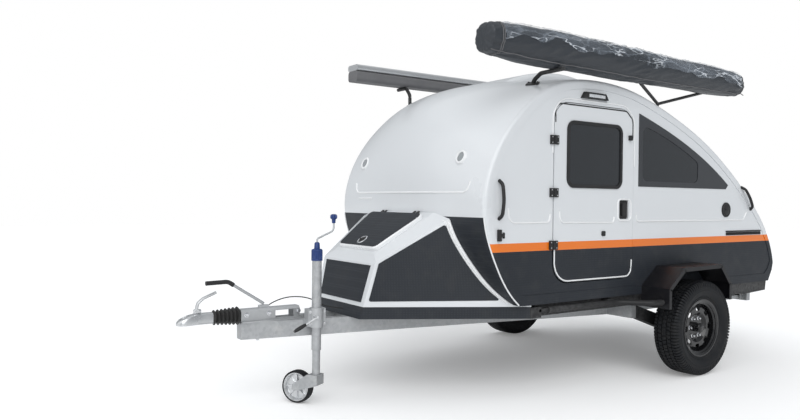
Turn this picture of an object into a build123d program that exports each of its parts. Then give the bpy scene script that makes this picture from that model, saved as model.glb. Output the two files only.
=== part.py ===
from build123d import *
from math import atan2, cos, degrees, hypot, pi, radians, sin, tan
import os

os.makedirs("parts", exist_ok=True)

# Off-road caravan, parked on its wheels and jockey wheel.
# Millimetres, +X forward to the coupling, +Y to the left, +Z up, ground at z = 0.
# Stations are measured ahead of the wheel axle, and ahead() turns a station into x.

# ---- driving dimensions ----
COUPLING_REACH = 3428  # axle to the tip of the coupling
TAIL_REACH = 1350  # axle to the back of the body

# body
BODY_HALF_WIDTH = 858
BODY_FRONT = 1896  # foremost station of the side
BODY_TAIL = -1332  # rearmost station of the side
ROOF_HEIGHT = 2066
FLOOR_BOTTOM = 515
FLOOR_HALF_WIDTH = 800
BODY_BOTTOM = 600  # lower edge of the sides
WALL = 30
SHOULDER = 170  # the shell rises to its full crown over this width inside each side
RIM_BAND = 62  # moulded band of the shell round each side panel
RIM_ROUND = 26
PANEL_RECESS = 4  # the side panel lies this far inside the band
GAP = 6  # round doors and lids
SEAT = 0.4  # clearance where a panel sits in its opening

# doors
DOOR_FRONT = 1318
DOOR_LENGTH = 780
DOOR_BOTTOM = 726
DOOR_TOP = 1893
DOOR_CORNER = 130
DOOR_WINDOW_LENGTH = 544
DOOR_WINDOW_HEIGHT = 440
DOOR_WINDOW_CENTRE = (934, 1562)
DOOR_WINDOW_CORNER = 62
FRAME_WIDTH = 22
FRAME_PROUD = 8
FRAME_LAP = 6  # the frame covers this much of the glass
HINGE_HEIGHTS = (972, 1308, 1646)
HINGE_OUT = 11  # hinge axis outside the door's face
HANDLE_CENTRE = (634, 1200)
HANDLE_LENGTH = 96
HANDLE_HEIGHT = 130
HANDLE_CORNER = 14
HANDLE_POCKET = 22
HANDLE_DISH = 10  # lining at the bottom of the pocket
PADDLE_PROUD = 6
PADDLE_SIZE = (44, 90, 12)  # length, height and corner
LOCK_CENTRE = (846, 1038)
LOCK_SIZE = (34, 34, 8)
CATCH_CENTRE = (583, 1700)
CATCH_SIZE = (26, 36, 6)
KNUCKLE_RADIUS = 7
PIN_RADIUS = 3

# rear side window
WINDOW_HEAD = (478, 1880)
WINDOW_FOOT = (478, 1364)
WINDOW_HEEL = (-600, 1364)
WINDOW_TAIL = (-632, 1396)
WINDOW_CURVE = ((130, 1768), (-300, 1588))
GLASS_HEAD = (436, 1800)
GLASS_FOOT = (436, 1404)
GLASS_TAIL = (-226, 1404)
GLASS_BROW = (-226, 1560)
GLASS_BOW = 22  # rise of the top edge over its chord
GLASS_CORNER = 48
GLASS_LAP = 6  # the glass reaches this far past the dark panel's opening

# rear hatch
HATCH_HINGE = (-250, 1782)
HATCH_FOOT = 850
HATCH_HALF_WIDTH = 780

# nose box
NOSE_BACK = 1500
NOSE_TIP = 2440
NOSE_WALL = 18
NOSE_WAIST = 612
LID_FRONT = (2278, 948)
LID_REAR = (1962, 1170)
LID_FRONT_HALF = 240
LID_REAR_HALF = 333
LID_THICKNESS = 28
LID_LIP = 22  # shell deck outside the lid's edge
LID_AXIS_RISE = 8  # hinge axis above the deck

# running gear
TRACK = 1973  # between the tyres' middle planes
TYRE_DIAMETER = 690
TYRE_WIDTH = 204
RIM_RADIUS = 208
RIM_BARREL = 190
RIM_WIDTH = 152
HUB_BORE = 32
STUB_RADIUS = 20
RUNNING = 0.08  # radial clearance of a shaft in its bore
FENDER_SHEET = 5
FENDER_OUT = 1094
FENDER_LIP = 72

# chassis
BEAM_WIDTH = 50
BEAM_HEIGHT = 100
DRAWBAR_FRONT = 3062
DRAWBAR_END = 441
DRAWBAR_SPREAD = 531  # beam centre line at the drawbar's end
DRAWBAR_TIP = 9  # and at its front
RAIL_END = -1240

# jockey wheel
JOCKEY_STATION = 2644
JOCKEY_Y = 176
JOCKEY_OUTER_RADIUS = 29
JOCKEY_INNER_RADIUS = 24
JOCKEY_TUBE_FOOT = 335
JOCKEY_TUBE_TOP = 878
JOCKEY_WHEEL_RADIUS = 100
JOCKEY_WHEEL_WIDTH = 58
JOCKEY_RIM_RADIUS = 70
JOCKEY_PIN_RADIUS = 6
JOCKEY_TRAIL = 128
JOCKEY_HEADING = -58  # the castor has swung in under the drawbar
FORK_TOP = 186

# roof gear
BAG_Y = 900
BAG_RADIUS = 117
BAG_TAIL_RADIUS = 98
BAG_FRONT = 1985
BAG_BACK = -760
BAG_BOTTOM = 2087
CASE_Y = -830
CASE_WIDTH = 150
CASE_HEIGHT = 130
CASE_BOTTOM = 2172
CASE_FRONT = 1840
CASE_BACK = -660
BRACKET_FRONT = 1378
BRACKET_REAR = 180
BRACKET_FOOT_Y = 712

# worked out from them
AXLE_X = (TAIL_REACH - COUPLING_REACH) / 2
BEAM_TOP = FLOOR_BOTTOM
BEAM_BOTTOM = BEAM_TOP - BEAM_HEIGHT
SIDE_FACE = BODY_HALF_WIDTH - PANEL_RECESS
CAVITY_HALF_WIDTH = SIDE_FACE - WALL
WHEEL_Y = TRACK / 2
WHEEL_Z = TYRE_DIAMETER / 2
AXLE_HEIGHT = WHEEL_Z


def ahead(station):
    """x of a station."""
    return AXLE_X + station


def side_plane(y):
    """Sketch plane across the caravan at y: local x is x, local y is z."""
    return Plane.XZ.offset(-y)


def cross_plane(station):
    """Sketch plane along the caravan at a station: local x is y, local y is z."""
    return Plane.YZ.offset(ahead(station))


def block(x_span, y_span, z_span):
    """Square-edged block between the given limits, from stations, y and z."""
    with BuildPart() as solid:
        with BuildSketch(Plane.XY.offset(z_span[0])):
            with Locations((ahead(sum(x_span) / 2), sum(y_span) / 2)):
                Rectangle(x_span[1] - x_span[0], y_span[1] - y_span[0])
        extrude(amount=z_span[1] - z_span[0])
    return solid.part


def bend_radii(points):
    """One bend radius for each corner, as large as its two runs allow."""
    radii = []
    for before, corner, after in zip(points, points[1:], points[2:]):
        first = Vector(*corner) - Vector(*before)
        second = Vector(*after) - Vector(*corner)
        half_turn = radians(first.get_angle(second)) / 2
        radii.append(0.45 * min(first.length, second.length) / tan(half_turn))
    return radii


def bent_bar(points, radius):
    """Round bar through points given as station, y and z, with its corners bent."""
    placed = [(ahead(station), y, z) for station, y, z in points]
    with BuildPart() as bar:
        with BuildLine() as path:
            if len(placed) > 2:
                FilletPolyline(*placed, radius=bend_radii(placed))
            else:
                Line(*placed)
        with BuildSketch(Plane(origin=path.line @ 0, z_dir=path.line % 0)):
            Circle(radius)
        sweep(path=path.line)
    return bar.part


def side_face(y, points):
    """Straight-edged face in the plane across the caravan at y, from stations and heights."""
    with BuildSketch(side_plane(y)) as shape:
        with BuildLine():
            Polyline(*[(ahead(station), height) for station, height in points], close=True)
        make_face()
    return shape.sketch


def rounded_side_face(y, centre, length, height, corner):
    """Rounded rectangle in the plane across the caravan at y, centred on a station and height."""
    with BuildSketch(side_plane(y)) as shape:
        with Locations((ahead(centre[0]), centre[1])):
            RectangleRounded(length, height, corner)
    return shape.sketch


# ---- body outline, seen from the side ----
# station, height, and how far the crowned middle of the shell stands proud of the side
OUTLINE = [
    (1626, BODY_BOTTOM + 22, 0),
    (1690, 690, 2),
    (1800, 872, 4),
    (1872, 1050, 6),
    (BODY_FRONT, 1220, 8),
    (1860, 1415, 20),
    (1765, 1608, 40),
    (1600, 1806, 55),
    (1357, 1984, 40),
    (1130, 2050, 20),
    (900, ROOF_HEIGHT, 10),
    (560, 2036, 10),
    (180, 1930, 10),
    (-360, 1704, 10),
    (-880, 1360, 8),
    (-1145, 1118, 6),
    (-1275, 935, 3),
    (BODY_TAIL, 790, 0),
]
TAIL_KNEE = (-1305, 690)
TAIL_FOOT = (-1250, BODY_BOTTOM)
NOSE_FOOT = (1596, BODY_BOTTOM)


def outline(y, crown=0.0, inset=0.0):
    """Closed outline of the body in the plane across the caravan at y."""
    curve = []
    for index, (station, height, proud) in enumerate(OUTLINE):
        before = OUTLINE[max(index - 1, 0)]
        after = OUTLINE[min(index + 1, len(OUTLINE) - 1)]
        along = Vector(after[0] - before[0], after[1] - before[1]).normalized()
        out = crown * proud - inset
        curve.append((ahead(station) + out * along.Y, height - out * along.X))
    low = BODY_BOTTOM + inset
    with BuildSketch(side_plane(y)) as shape:
        with BuildLine():
            Spline(*curve)
            Polyline(
                curve[-1],
                (ahead(TAIL_KNEE[0]) + inset, TAIL_KNEE[1] + 0.3 * inset),
                (ahead(TAIL_FOOT[0]) + inset, low),
                (ahead(NOSE_FOOT[0]) - inset, low),
                curve[0],
            )
        make_face()
    return shape.sketch


def door_face(y, margin=0.0):
    """The doorway's rounded outline, grown by the margin."""
    height = DOOR_TOP - DOOR_BOTTOM
    centre = (DOOR_FRONT - DOOR_LENGTH / 2, DOOR_BOTTOM + height / 2)
    return rounded_side_face(y, centre, DOOR_LENGTH + 2 * margin, height + 2 * margin, DOOR_CORNER + margin)


def door_window_face(y, margin=0.0):
    """The door window's rounded outline, grown by the margin."""
    return rounded_side_face(
        y,
        DOOR_WINDOW_CENTRE,
        DOOR_WINDOW_LENGTH + 2 * margin,
        DOOR_WINDOW_HEIGHT + 2 * margin,
        DOOR_WINDOW_CORNER + margin,
    )


def window_panel_face(y):
    """Quarter-round panel that follows the falling roof."""
    corners = (WINDOW_TAIL, WINDOW_HEEL, WINDOW_FOOT, WINDOW_HEAD)
    with BuildSketch(side_plane(y)) as shape:
        with BuildLine():
            Polyline(*[(ahead(station), height) for station, height in corners])
            brow = (WINDOW_HEAD, *WINDOW_CURVE, WINDOW_TAIL)
            Spline(*[(ahead(station), height) for station, height in brow])
        make_face()
    return shape.sketch


def window_glass_face(y, margin=0.0):
    """Glass of the rear side window, with its top edge bowed, grown by the margin."""
    with BuildSketch(side_plane(y)) as shape:
        with BuildLine():
            corners = (GLASS_BROW, GLASS_TAIL, GLASS_FOOT, GLASS_HEAD)
            Polyline(*[(ahead(station), height) for station, height in corners])
            middle = (
                ahead((GLASS_BROW[0] + GLASS_HEAD[0]) / 2),
                (GLASS_BROW[1] + GLASS_HEAD[1]) / 2 + GLASS_BOW,
            )
            ThreePointArc(
                (ahead(GLASS_HEAD[0]), GLASS_HEAD[1]),
                middle,
                (ahead(GLASS_BROW[0]), GLASS_BROW[1]),
            )
        make_face()
        fillet(shape.vertices(), GLASS_CORNER)
        if margin:
            offset(amount=margin)
    return shape.sketch


# ---- body shell: one moulding for the front, roof and tail ----
with BuildPart() as body_block:
    loft(
        sections=[
            outline(-BODY_HALF_WIDTH),
            outline(-BODY_HALF_WIDTH + SHOULDER, crown=1),
            outline(BODY_HALF_WIDTH - SHOULDER, crown=1),
            outline(BODY_HALF_WIDTH),
        ]
    )
    fillet(body_block.faces().filter_by(Axis.Y).edges().group_by(SortBy.LENGTH)[-1], RIM_ROUND)

# raised pod in the middle of the roof, falling into the front and tail
POD_HALF_WIDTH = 470
POD_ROUND = 70
POD_CURVE = ((1740, 1700), (1560, 1925), (1300, 2092), (1000, 2168), (720, 2172), (360, 2068), (-80, 1812))
POD_ROOT = ((200, 1700), (1500, 1690))
with BuildPart() as roof_pod:
    with BuildSketch(side_plane(POD_HALF_WIDTH)):
        with BuildLine():
            Spline(*[(ahead(station), height) for station, height in POD_CURVE])
            root = (POD_CURVE[-1], *POD_ROOT, POD_CURVE[0])
            Polyline(*[(ahead(station), height) for station, height in root])
        make_face()
    extrude(amount=2 * POD_HALF_WIDTH)
    fillet(roof_pod.faces().filter_by(Axis.Y).edges().group_by(SortBy.LENGTH)[-1], POD_ROUND)

with BuildPart() as cavity:
    extrude(outline(CAVITY_HALF_WIDTH, inset=WALL), amount=2 * CAVITY_HALF_WIDTH)


def hatch_block(margin):
    """Everything behind the hatch's hinge line and above its foot, grown by the margin."""
    region = (
        (HATCH_HINGE[0] + margin, 1400),
        (HATCH_HINGE[0] + margin, 2200),
        (-TAIL_REACH - 200, 2200),
        (-TAIL_REACH - 200, HATCH_FOOT - margin),
        (-900, HATCH_FOOT - margin),
    )
    with BuildPart() as solid:
        extrude(side_face(HATCH_HALF_WIDTH + margin, region), amount=2 * (HATCH_HALF_WIDTH + margin))
    return solid.part


with BuildPart() as floor_panel:
    add(
        block(
            (TAIL_FOOT[0] + WALL, NOSE_FOOT[0] - WALL),
            (-FLOOR_HALF_WIDTH, FLOOR_HALF_WIDTH),
            (FLOOR_BOTTOM, BODY_BOTTOM + WALL),
        )
    )
floor_panel.part.label = "floor_panel"
export_step(floor_panel.part, "parts/floor_panel.step")

with BuildPart() as body_shell:
    add(body_block.part)
    add(roof_pod.part)
    add(cavity.part, mode=Mode.SUBTRACT)
    for side in (1, -1):
        extrude(
            outline(side * (BODY_HALF_WIDTH + 40), inset=RIM_BAND),
            amount=side * (40 + WALL + 20),
            mode=Mode.SUBTRACT,
        )
    add(hatch_block(GAP), mode=Mode.SUBTRACT)
    add(floor_panel.part, mode=Mode.SUBTRACT)
body_shell.part.label = "body_shell"
export_step(body_shell.part, "parts/body_shell.step")

# hatch hinges: barrels above the roof, lying along its fall
HATCH_HINGE_SPREAD = 450
HATCH_SLOPE = 0.44  # fall of the roof, radians
HATCH_BARREL = 9
BARREL_PIN = 4
BARREL_HALF = 30
BARREL_SPLIT = 12


def barrel(plane, half_length, radius, middle=0.0):
    """Round bar across the caravan, centred on the plane's origin."""
    with BuildPart() as bar:
        with BuildSketch(plane.offset(middle - half_length)):
            Circle(radius)
        extrude(amount=2 * half_length)
    return bar.part


def strap(plane, along, drop, half_length, middle=0.0):
    """Flat block from a hinge axis along its strap and down to the sheet below it."""
    with BuildPart() as leaf:
        with BuildSketch(plane.offset(middle - half_length)):
            with Locations(((along[0] + along[1]) / 2, -drop / 2)):
                Rectangle(along[1] - along[0], drop)
        extrude(amount=2 * half_length)
    return leaf.part


def hinge_plane(station, y, height, slope):
    """Hinge axis across the caravan; local x runs rearwards down the slope, local y off the sheet."""
    back = (-cos(slope), 0, -sin(slope))
    return Plane(origin=(ahead(station), y, height), x_dir=back, z_dir=(0, 1, 0))


hatch_axes = [
    hinge_plane(HATCH_HINGE[0], side * HATCH_HINGE_SPREAD, HATCH_HINGE[1] + HATCH_BARREL + 2, HATCH_SLOPE)
    for side in (1, -1)
]
BARREL_SIDE = (BARREL_HALF - BARREL_SPLIT) / 2
with BuildPart() as hatch_hinges:
    for axis_plane in hatch_axes:
        for side in (1, -1):
            middle = side * (BARREL_SPLIT + BARREL_SIDE)
            add(barrel(axis_plane, BARREL_SIDE, HATCH_BARREL, middle))
            add(strap(axis_plane, (-46, 0), 30, BARREL_SIDE, middle))
        add(barrel(axis_plane, BARREL_HALF, BARREL_PIN))
    add(body_block.part, mode=Mode.SUBTRACT)
    add(roof_pod.part, mode=Mode.SUBTRACT)
hatch_hinges.part.label = "hatch_hinges"
export_step(hatch_hinges.part, "parts/hatch_hinges.step")

with BuildPart() as rear_hatch:
    add(body_block.part)
    add(cavity.part, mode=Mode.SUBTRACT)
    add(hatch_block(0), mode=Mode.INTERSECT)
    for axis_plane in hatch_axes:
        add(barrel(axis_plane, BARREL_SPLIT - 1, HATCH_BARREL))
        add(strap(axis_plane, (6, 46), 20, BARREL_SPLIT - 1))
        add(barrel(axis_plane, BARREL_HALF + 1, BARREL_PIN + RUNNING), mode=Mode.SUBTRACT)
rear_hatch.part.label = "rear_hatch"
export_step(rear_hatch.part, "parts/rear_hatch.step")

# ---- sides ----
with BuildPart() as left_side_panel:
    extrude(outline(SIDE_FACE, inset=RIM_BAND + SEAT), amount=WALL)
    extrude(door_face(SIDE_FACE, GAP), amount=WALL, mode=Mode.SUBTRACT)
    extrude(window_glass_face(SIDE_FACE, GLASS_LAP), amount=WALL, mode=Mode.SUBTRACT)
left_side_panel.part.label = "left_side_panel"
export_step(left_side_panel.part, "parts/left_side_panel.step")

with BuildPart() as right_side_panel:
    mirror(left_side_panel.part, about=Plane.XZ)
right_side_panel.part.label = "right_side_panel"
export_step(right_side_panel.part, "parts/right_side_panel.step")

# rear side windows: a dark panel on the outside with the glass let into it
PANEL_SKIN = 4
with BuildPart() as rear_window_panels:
    extrude(window_panel_face(SIDE_FACE + PANEL_SKIN), amount=PANEL_SKIN)
    extrude(window_glass_face(SIDE_FACE + PANEL_SKIN), amount=PANEL_SKIN, mode=Mode.SUBTRACT)
    mirror(about=Plane.XZ)
rear_window_panels.part.label = "rear_window_panels"
export_step(rear_window_panels.part, "parts/rear_window_panels.step")

GLASS = 5
with BuildPart() as rear_window_glass:
    extrude(window_glass_face(SIDE_FACE, GLASS_LAP - SEAT), amount=GLASS)
    mirror(about=Plane.XZ)
rear_window_glass.part.label = "rear_window_glass"
export_step(rear_window_glass.part, "parts/rear_window_glass.step")

# ---- doors ----
with BuildPart() as left_door:
    extrude(door_face(BODY_HALF_WIDTH), amount=WALL + PANEL_RECESS)
    extrude(
        door_window_face(BODY_HALF_WIDTH, FRAME_LAP - FRAME_WIDTH),
        amount=WALL + PANEL_RECESS,
        mode=Mode.SUBTRACT,
    )
    # pocket behind the paddle handle
    extrude(
        rounded_side_face(BODY_HALF_WIDTH, HANDLE_CENTRE, HANDLE_LENGTH, HANDLE_HEIGHT, HANDLE_CORNER),
        amount=HANDLE_POCKET,
        mode=Mode.SUBTRACT,
    )

with BuildPart() as left_door_frame:
    extrude(door_window_face(BODY_HALF_WIDTH + FRAME_PROUD), amount=FRAME_PROUD)
    extrude(
        door_window_face(BODY_HALF_WIDTH + FRAME_PROUD, -FRAME_WIDTH),
        amount=FRAME_PROUD,
        mode=Mode.SUBTRACT,
    )

with BuildPart() as left_door_glass:
    extrude(door_window_face(BODY_HALF_WIDTH, FRAME_LAP - FRAME_WIDTH - SEAT), amount=GLASS)

HINGE_STATION = DOOR_FRONT + GAP / 2
HINGE_Y = BODY_HALF_WIDTH + HINGE_OUT


def hinge_bar(radius, low, high):
    """Upright round bar on the door's hinge axis: a knuckle, a pin or a bore."""
    with BuildPart() as bar:
        with BuildSketch(Plane.XY.offset(low)):
            with Locations((ahead(HINGE_STATION), HINGE_Y)):
                Circle(radius)
        extrude(amount=high - low)
    return bar.part


HINGE_HALF = 29
HINGE_LEAF = 34
KNUCKLE_SPLIT = 10  # fixed knuckles start this far above and below the hinge's middle
LEAF_CLEAR = KNUCKLE_RADIUS + 0.6


def hinge_leaf(side, height, face_y):
    """Leaf on one side of the hinge axis, clear of the other leaf's knuckles."""
    span = sorted((HINGE_STATION + side * LEAF_CLEAR, HINGE_STATION + side * HINGE_LEAF))
    return block(span, (face_y, HINGE_Y), (height - HINGE_HALF, height + HINGE_HALF))


def knuckle_bridge(side, low, high):
    """Web from a knuckle to its leaf."""
    span = sorted((HINGE_STATION, HINGE_STATION + side * (LEAF_CLEAR + 1)))
    return block(span, (HINGE_Y - 5, HINGE_Y), (low, high))


with BuildPart() as door_hinges:
    for height in HINGE_HEIGHTS:
        add(hinge_leaf(1, height, SIDE_FACE))
        for low, high in ((-HINGE_HALF, -KNUCKLE_SPLIT), (KNUCKLE_SPLIT, HINGE_HALF)):
            add(hinge_bar(KNUCKLE_RADIUS, height + low, height + high))
            add(knuckle_bridge(1, height + low, height + high))
        add(hinge_bar(PIN_RADIUS, height - HINGE_HALF, height + HINGE_HALF))
    mirror(about=Plane.XZ)
door_hinges.part.label = "door_hinges"
export_step(door_hinges.part, "parts/door_hinges.step")

with BuildPart() as left_door_hardware:
    for height in HINGE_HEIGHTS:
        add(hinge_leaf(-1, height, BODY_HALF_WIDTH))
        low = height - KNUCKLE_SPLIT + SEAT
        high = height + KNUCKLE_SPLIT - SEAT
        add(hinge_bar(KNUCKLE_RADIUS, low, high))
        add(knuckle_bridge(-1, low, high))
        bore = hinge_bar(PIN_RADIUS + RUNNING, height - HINGE_HALF, height + HINGE_HALF)
        add(bore, mode=Mode.SUBTRACT)
    # paddle handle in its pocket
    floor_y = BODY_HALF_WIDTH - HANDLE_POCKET + HANDLE_DISH
    dish = (HANDLE_LENGTH - 1, HANDLE_HEIGHT - 1, HANDLE_CORNER - 1)
    extrude(rounded_side_face(floor_y, HANDLE_CENTRE, *dish), amount=HANDLE_DISH)
    extrude(
        rounded_side_face(BODY_HALF_WIDTH + PADDLE_PROUD, HANDLE_CENTRE, *PADDLE_SIZE),
        amount=HANDLE_POCKET,
    )
    # lower lock and the hold-back catch
    for centre, size, proud in ((LOCK_CENTRE, LOCK_SIZE, 8), (CATCH_CENTRE, CATCH_SIZE, 20)):
        extrude(rounded_side_face(BODY_HALF_WIDTH + proud, centre, *size), amount=proud)

left_pieces = {
    "door": left_door,
    "door_frame": left_door_frame,
    "door_glass": left_door_glass,
    "door_hardware": left_door_hardware,
}
for kind, left_piece in left_pieces.items():
    left_piece.part.label = f"left_{kind}"
    export_step(left_piece.part, f"parts/left_{kind}.step")
    with BuildPart() as right_piece:
        mirror(left_piece.part, about=Plane.XZ)
    right_piece.part.label = f"right_{kind}"
    export_step(right_piece.part, f"parts/right_{kind}.step")


# ---- nose box ----
def on_line(station, start, slope):
    """Height or half width at a station, from a value at a station and its slope rearwards."""
    return start[1] + (start[0] - station) * slope


LID_FALL = (LID_REAR[1] - LID_FRONT[1]) / (LID_FRONT[0] - LID_REAR[0])
LID_SPREAD = (LID_REAR_HALF - LID_FRONT_HALF) / (LID_FRONT[0] - LID_REAR[0])
LID_DROP = LID_THICKNESS * hypot(1, LID_FALL)  # lid top to deck, straight down


def nose_section(station, inset):
    """Section across the nose box: keel, waist, shoulder and lid deck."""
    waist_half = on_line(station, (2385, 310), 0.612)
    shoulder = (on_line(station, (2325, 335), 0.45), on_line(station, (2325, 862), 0.646))
    deck = (
        on_line(station, (LID_FRONT[0], LID_FRONT_HALF + LID_LIP), LID_SPREAD),
        on_line(station, LID_FRONT, LID_FALL) - LID_DROP,
    )
    half = [(waist_half, FLOOR_BOTTOM), (waist_half, NOSE_WAIST), shoulder, deck]
    points = half + [(-y, z) for y, z in reversed(half)]
    with BuildSketch(cross_plane(station)) as shape:
        with BuildLine():
            Polyline(*points, close=True)
        make_face()
        if inset:
            offset(amount=-inset, kind=Kind.INTERSECTION)
    return shape.sketch


FRONT_LEAN = (2389 - 2330) / (854 - 609)
NOSE_FACE_TOP = (2330, 854)
NOSE_FACE_FOOT = (NOSE_FACE_TOP[0] + (NOSE_FACE_TOP[1] - FLOOR_BOTTOM) * FRONT_LEAN, FLOOR_BOTTOM)
DECK_FRONT = (2290, on_line(2290, LID_FRONT, LID_FALL) - LID_DROP)
DECK_REAR = (NOSE_BACK, on_line(NOSE_BACK, LID_FRONT, LID_FALL) - LID_DROP)


def nose_side_view(inset):
    """The nose box's side view, drawn right across the caravan."""
    profile = ((NOSE_BACK, FLOOR_BOTTOM), NOSE_FACE_FOOT, NOSE_FACE_TOP, DECK_FRONT, DECK_REAR)
    with BuildPart() as solid:
        with BuildSketch(side_plane(BODY_HALF_WIDTH)):
            with BuildLine():
                Polyline(*[(ahead(station), height) for station, height in profile], close=True)
            make_face()
            if inset:
                offset(amount=-inset, kind=Kind.INTERSECTION)
        extrude(amount=2 * BODY_HALF_WIDTH)
    return solid.part


def nose_block(inset):
    """The nose box's outer form, or its inside when inset by the wall."""
    side_view = nose_side_view(inset)
    with BuildPart() as solid:
        loft(sections=[nose_section(NOSE_BACK, inset), nose_section(NOSE_TIP, inset)], ruled=True)
        add(side_view, mode=Mode.INTERSECT)
    return solid.part


nose_outer = nose_block(0)
nose_inner = nose_block(NOSE_WALL)

with BuildPart() as lid_opening:
    with BuildSketch(Plane.XY.offset(FLOOR_BOTTOM + 100)):
        with BuildLine():
            Polyline(
                (ahead(LID_FRONT[0] - 30), LID_FRONT_HALF - 28),
                (ahead(LID_REAR[0] + 34), LID_REAR_HALF - 34),
                (ahead(LID_REAR[0] + 34), -LID_REAR_HALF + 34),
                (ahead(LID_FRONT[0] - 30), -LID_FRONT_HALF + 28),
                close=True,
            )
        make_face()
        fillet(vertices(), 30)
    extrude(amount=800)

with BuildPart() as nose_box:
    add(nose_outer)
    add(nose_inner, mode=Mode.SUBTRACT)
    add(lid_opening.part, mode=Mode.SUBTRACT)
    add(body_block.part, mode=Mode.SUBTRACT)
    add(floor_panel.part, mode=Mode.SUBTRACT)
nose_box.part.label = "nose_box"
export_step(nose_box.part, "parts/nose_box.step")

# dark panels let onto the front and both sides of the nose box
NOSE_PANEL_SKIN = 3
with BuildPart() as nose_front_panel:
    lean = degrees(atan2(NOSE_FACE_FOOT[0] - NOSE_FACE_TOP[0], NOSE_FACE_TOP[1] - NOSE_FACE_FOOT[1]))
    face_plane = Plane(
        origin=(ahead(NOSE_FACE_TOP[0]), 0, NOSE_FACE_TOP[1]),
        x_dir=(0, 1, 0),
        z_dir=(cos(radians(lean)), 0, sin(radians(lean))),
    )
    with BuildSketch(face_plane):
        with BuildLine():
            Polyline((-290, -12), (290, -12), (268, -246), (-268, -246), close=True)
        make_face()
    extrude(amount=NOSE_PANEL_SKIN)
nose_front_panel.part.label = "nose_front_panel"
export_step(nose_front_panel.part, "parts/nose_front_panel.step")

# ---- nose lid ----
lid_slope = atan2(LID_REAR[1] - LID_FRONT[1], LID_FRONT[0] - LID_REAR[0])
LID_LENGTH = hypot(LID_REAR[1] - LID_FRONT[1], LID_FRONT[0] - LID_REAR[0])
lid_plane = Plane(
    origin=(ahead(LID_FRONT[0]), 0, LID_FRONT[1]),
    x_dir=(-cos(lid_slope), 0, sin(lid_slope)),
    z_dir=(sin(lid_slope), 0, cos(lid_slope)),
)


def lid_face(inset, rise, corner):
    """The lid's tapered outline, moved inwards by the inset and up off the lid's top by the rise."""
    with BuildSketch(lid_plane.offset(rise)) as shape:
        with BuildLine():
            Polyline(
                (inset, LID_FRONT_HALF - inset),
                (LID_LENGTH - inset, LID_REAR_HALF - inset),
                (LID_LENGTH - inset, -LID_REAR_HALF + inset),
                (inset, -LID_FRONT_HALF + inset),
                close=True,
            )
        make_face()
        fillet(shape.vertices(), corner)
    return shape.sketch


LID_AXIS_BACK = 10  # hinge axis behind the lid's rear edge
LID_BARREL = 7.6
LID_PIN = 3
LID_HINGE_SPREAD = 200
lid_axes = [
    Plane(
        origin=lid_plane.from_local_coords(
            Vector(LID_LENGTH + LID_AXIS_BACK, side * LID_HINGE_SPREAD, LID_AXIS_RISE - LID_THICKNESS)
        ),
        x_dir=lid_plane.x_dir,
        z_dir=(0, -1, 0),
    )
    for side in (1, -1)
]
with BuildPart() as lid_hinges:
    for axis_plane in lid_axes:
        for side in (1, -1):
            middle = side * (BARREL_SPLIT + BARREL_SIDE)
            add(barrel(axis_plane, BARREL_SIDE, LID_BARREL, middle))
            add(strap(axis_plane, (0, 24), 8, BARREL_SIDE, middle))
        add(barrel(axis_plane, BARREL_HALF, LID_PIN))
lid_hinges.part.label = "lid_hinges"
export_step(lid_hinges.part, "parts/lid_hinges.step")

with BuildPart() as nose_lid:
    extrude(lid_face(0, 0, 42), amount=-(LID_THICKNESS - SEAT))
    chamfer(nose_lid.faces().sort_by(SortBy.AREA)[-2:].sort_by(Axis.Z)[-1].edges(), 8)
    for axis_plane in lid_axes:
        add(barrel(axis_plane, BARREL_SPLIT - 1, LID_BARREL))
        add(strap(axis_plane, (-LID_AXIS_BACK - 1, 0), 6, BARREL_SPLIT - 1))
        add(barrel(axis_plane, BARREL_HALF + 1, LID_PIN + RUNNING), mode=Mode.SUBTRACT)
nose_lid.part.label = "nose_lid"
export_step(nose_lid.part, "parts/nose_lid.step")

# ---- chassis ----
DRAWBAR_SPLAY = (DRAWBAR_SPREAD - DRAWBAR_TIP) / (DRAWBAR_FRONT - DRAWBAR_END)


def beam_y(station):
    """Centre line of the left drawbar beam."""
    return DRAWBAR_TIP + (DRAWBAR_FRONT - station) * DRAWBAR_SPLAY


beam_half = BEAM_WIDTH / 2 * hypot(1, DRAWBAR_SPLAY)  # along y
with BuildPart() as drawbar:
    with BuildSketch(Plane.XY.offset(BEAM_BOTTOM)):
        with BuildLine():
            Polyline(
                (ahead(DRAWBAR_FRONT), 0),
                (ahead(DRAWBAR_FRONT), beam_y(DRAWBAR_FRONT) + beam_half),
                (ahead(DRAWBAR_END), beam_y(DRAWBAR_END) + beam_half),
                (ahead(DRAWBAR_END), beam_y(DRAWBAR_END) - beam_half),
                (ahead(DRAWBAR_FRONT - (beam_half - DRAWBAR_TIP) / DRAWBAR_SPLAY), 0),
                close=True,
            )
        make_face()
    extrude(amount=BEAM_HEIGHT)
    mirror(about=Plane.XZ)
drawbar.part.label = "drawbar"
export_step(drawbar.part, "parts/drawbar.step")

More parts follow.
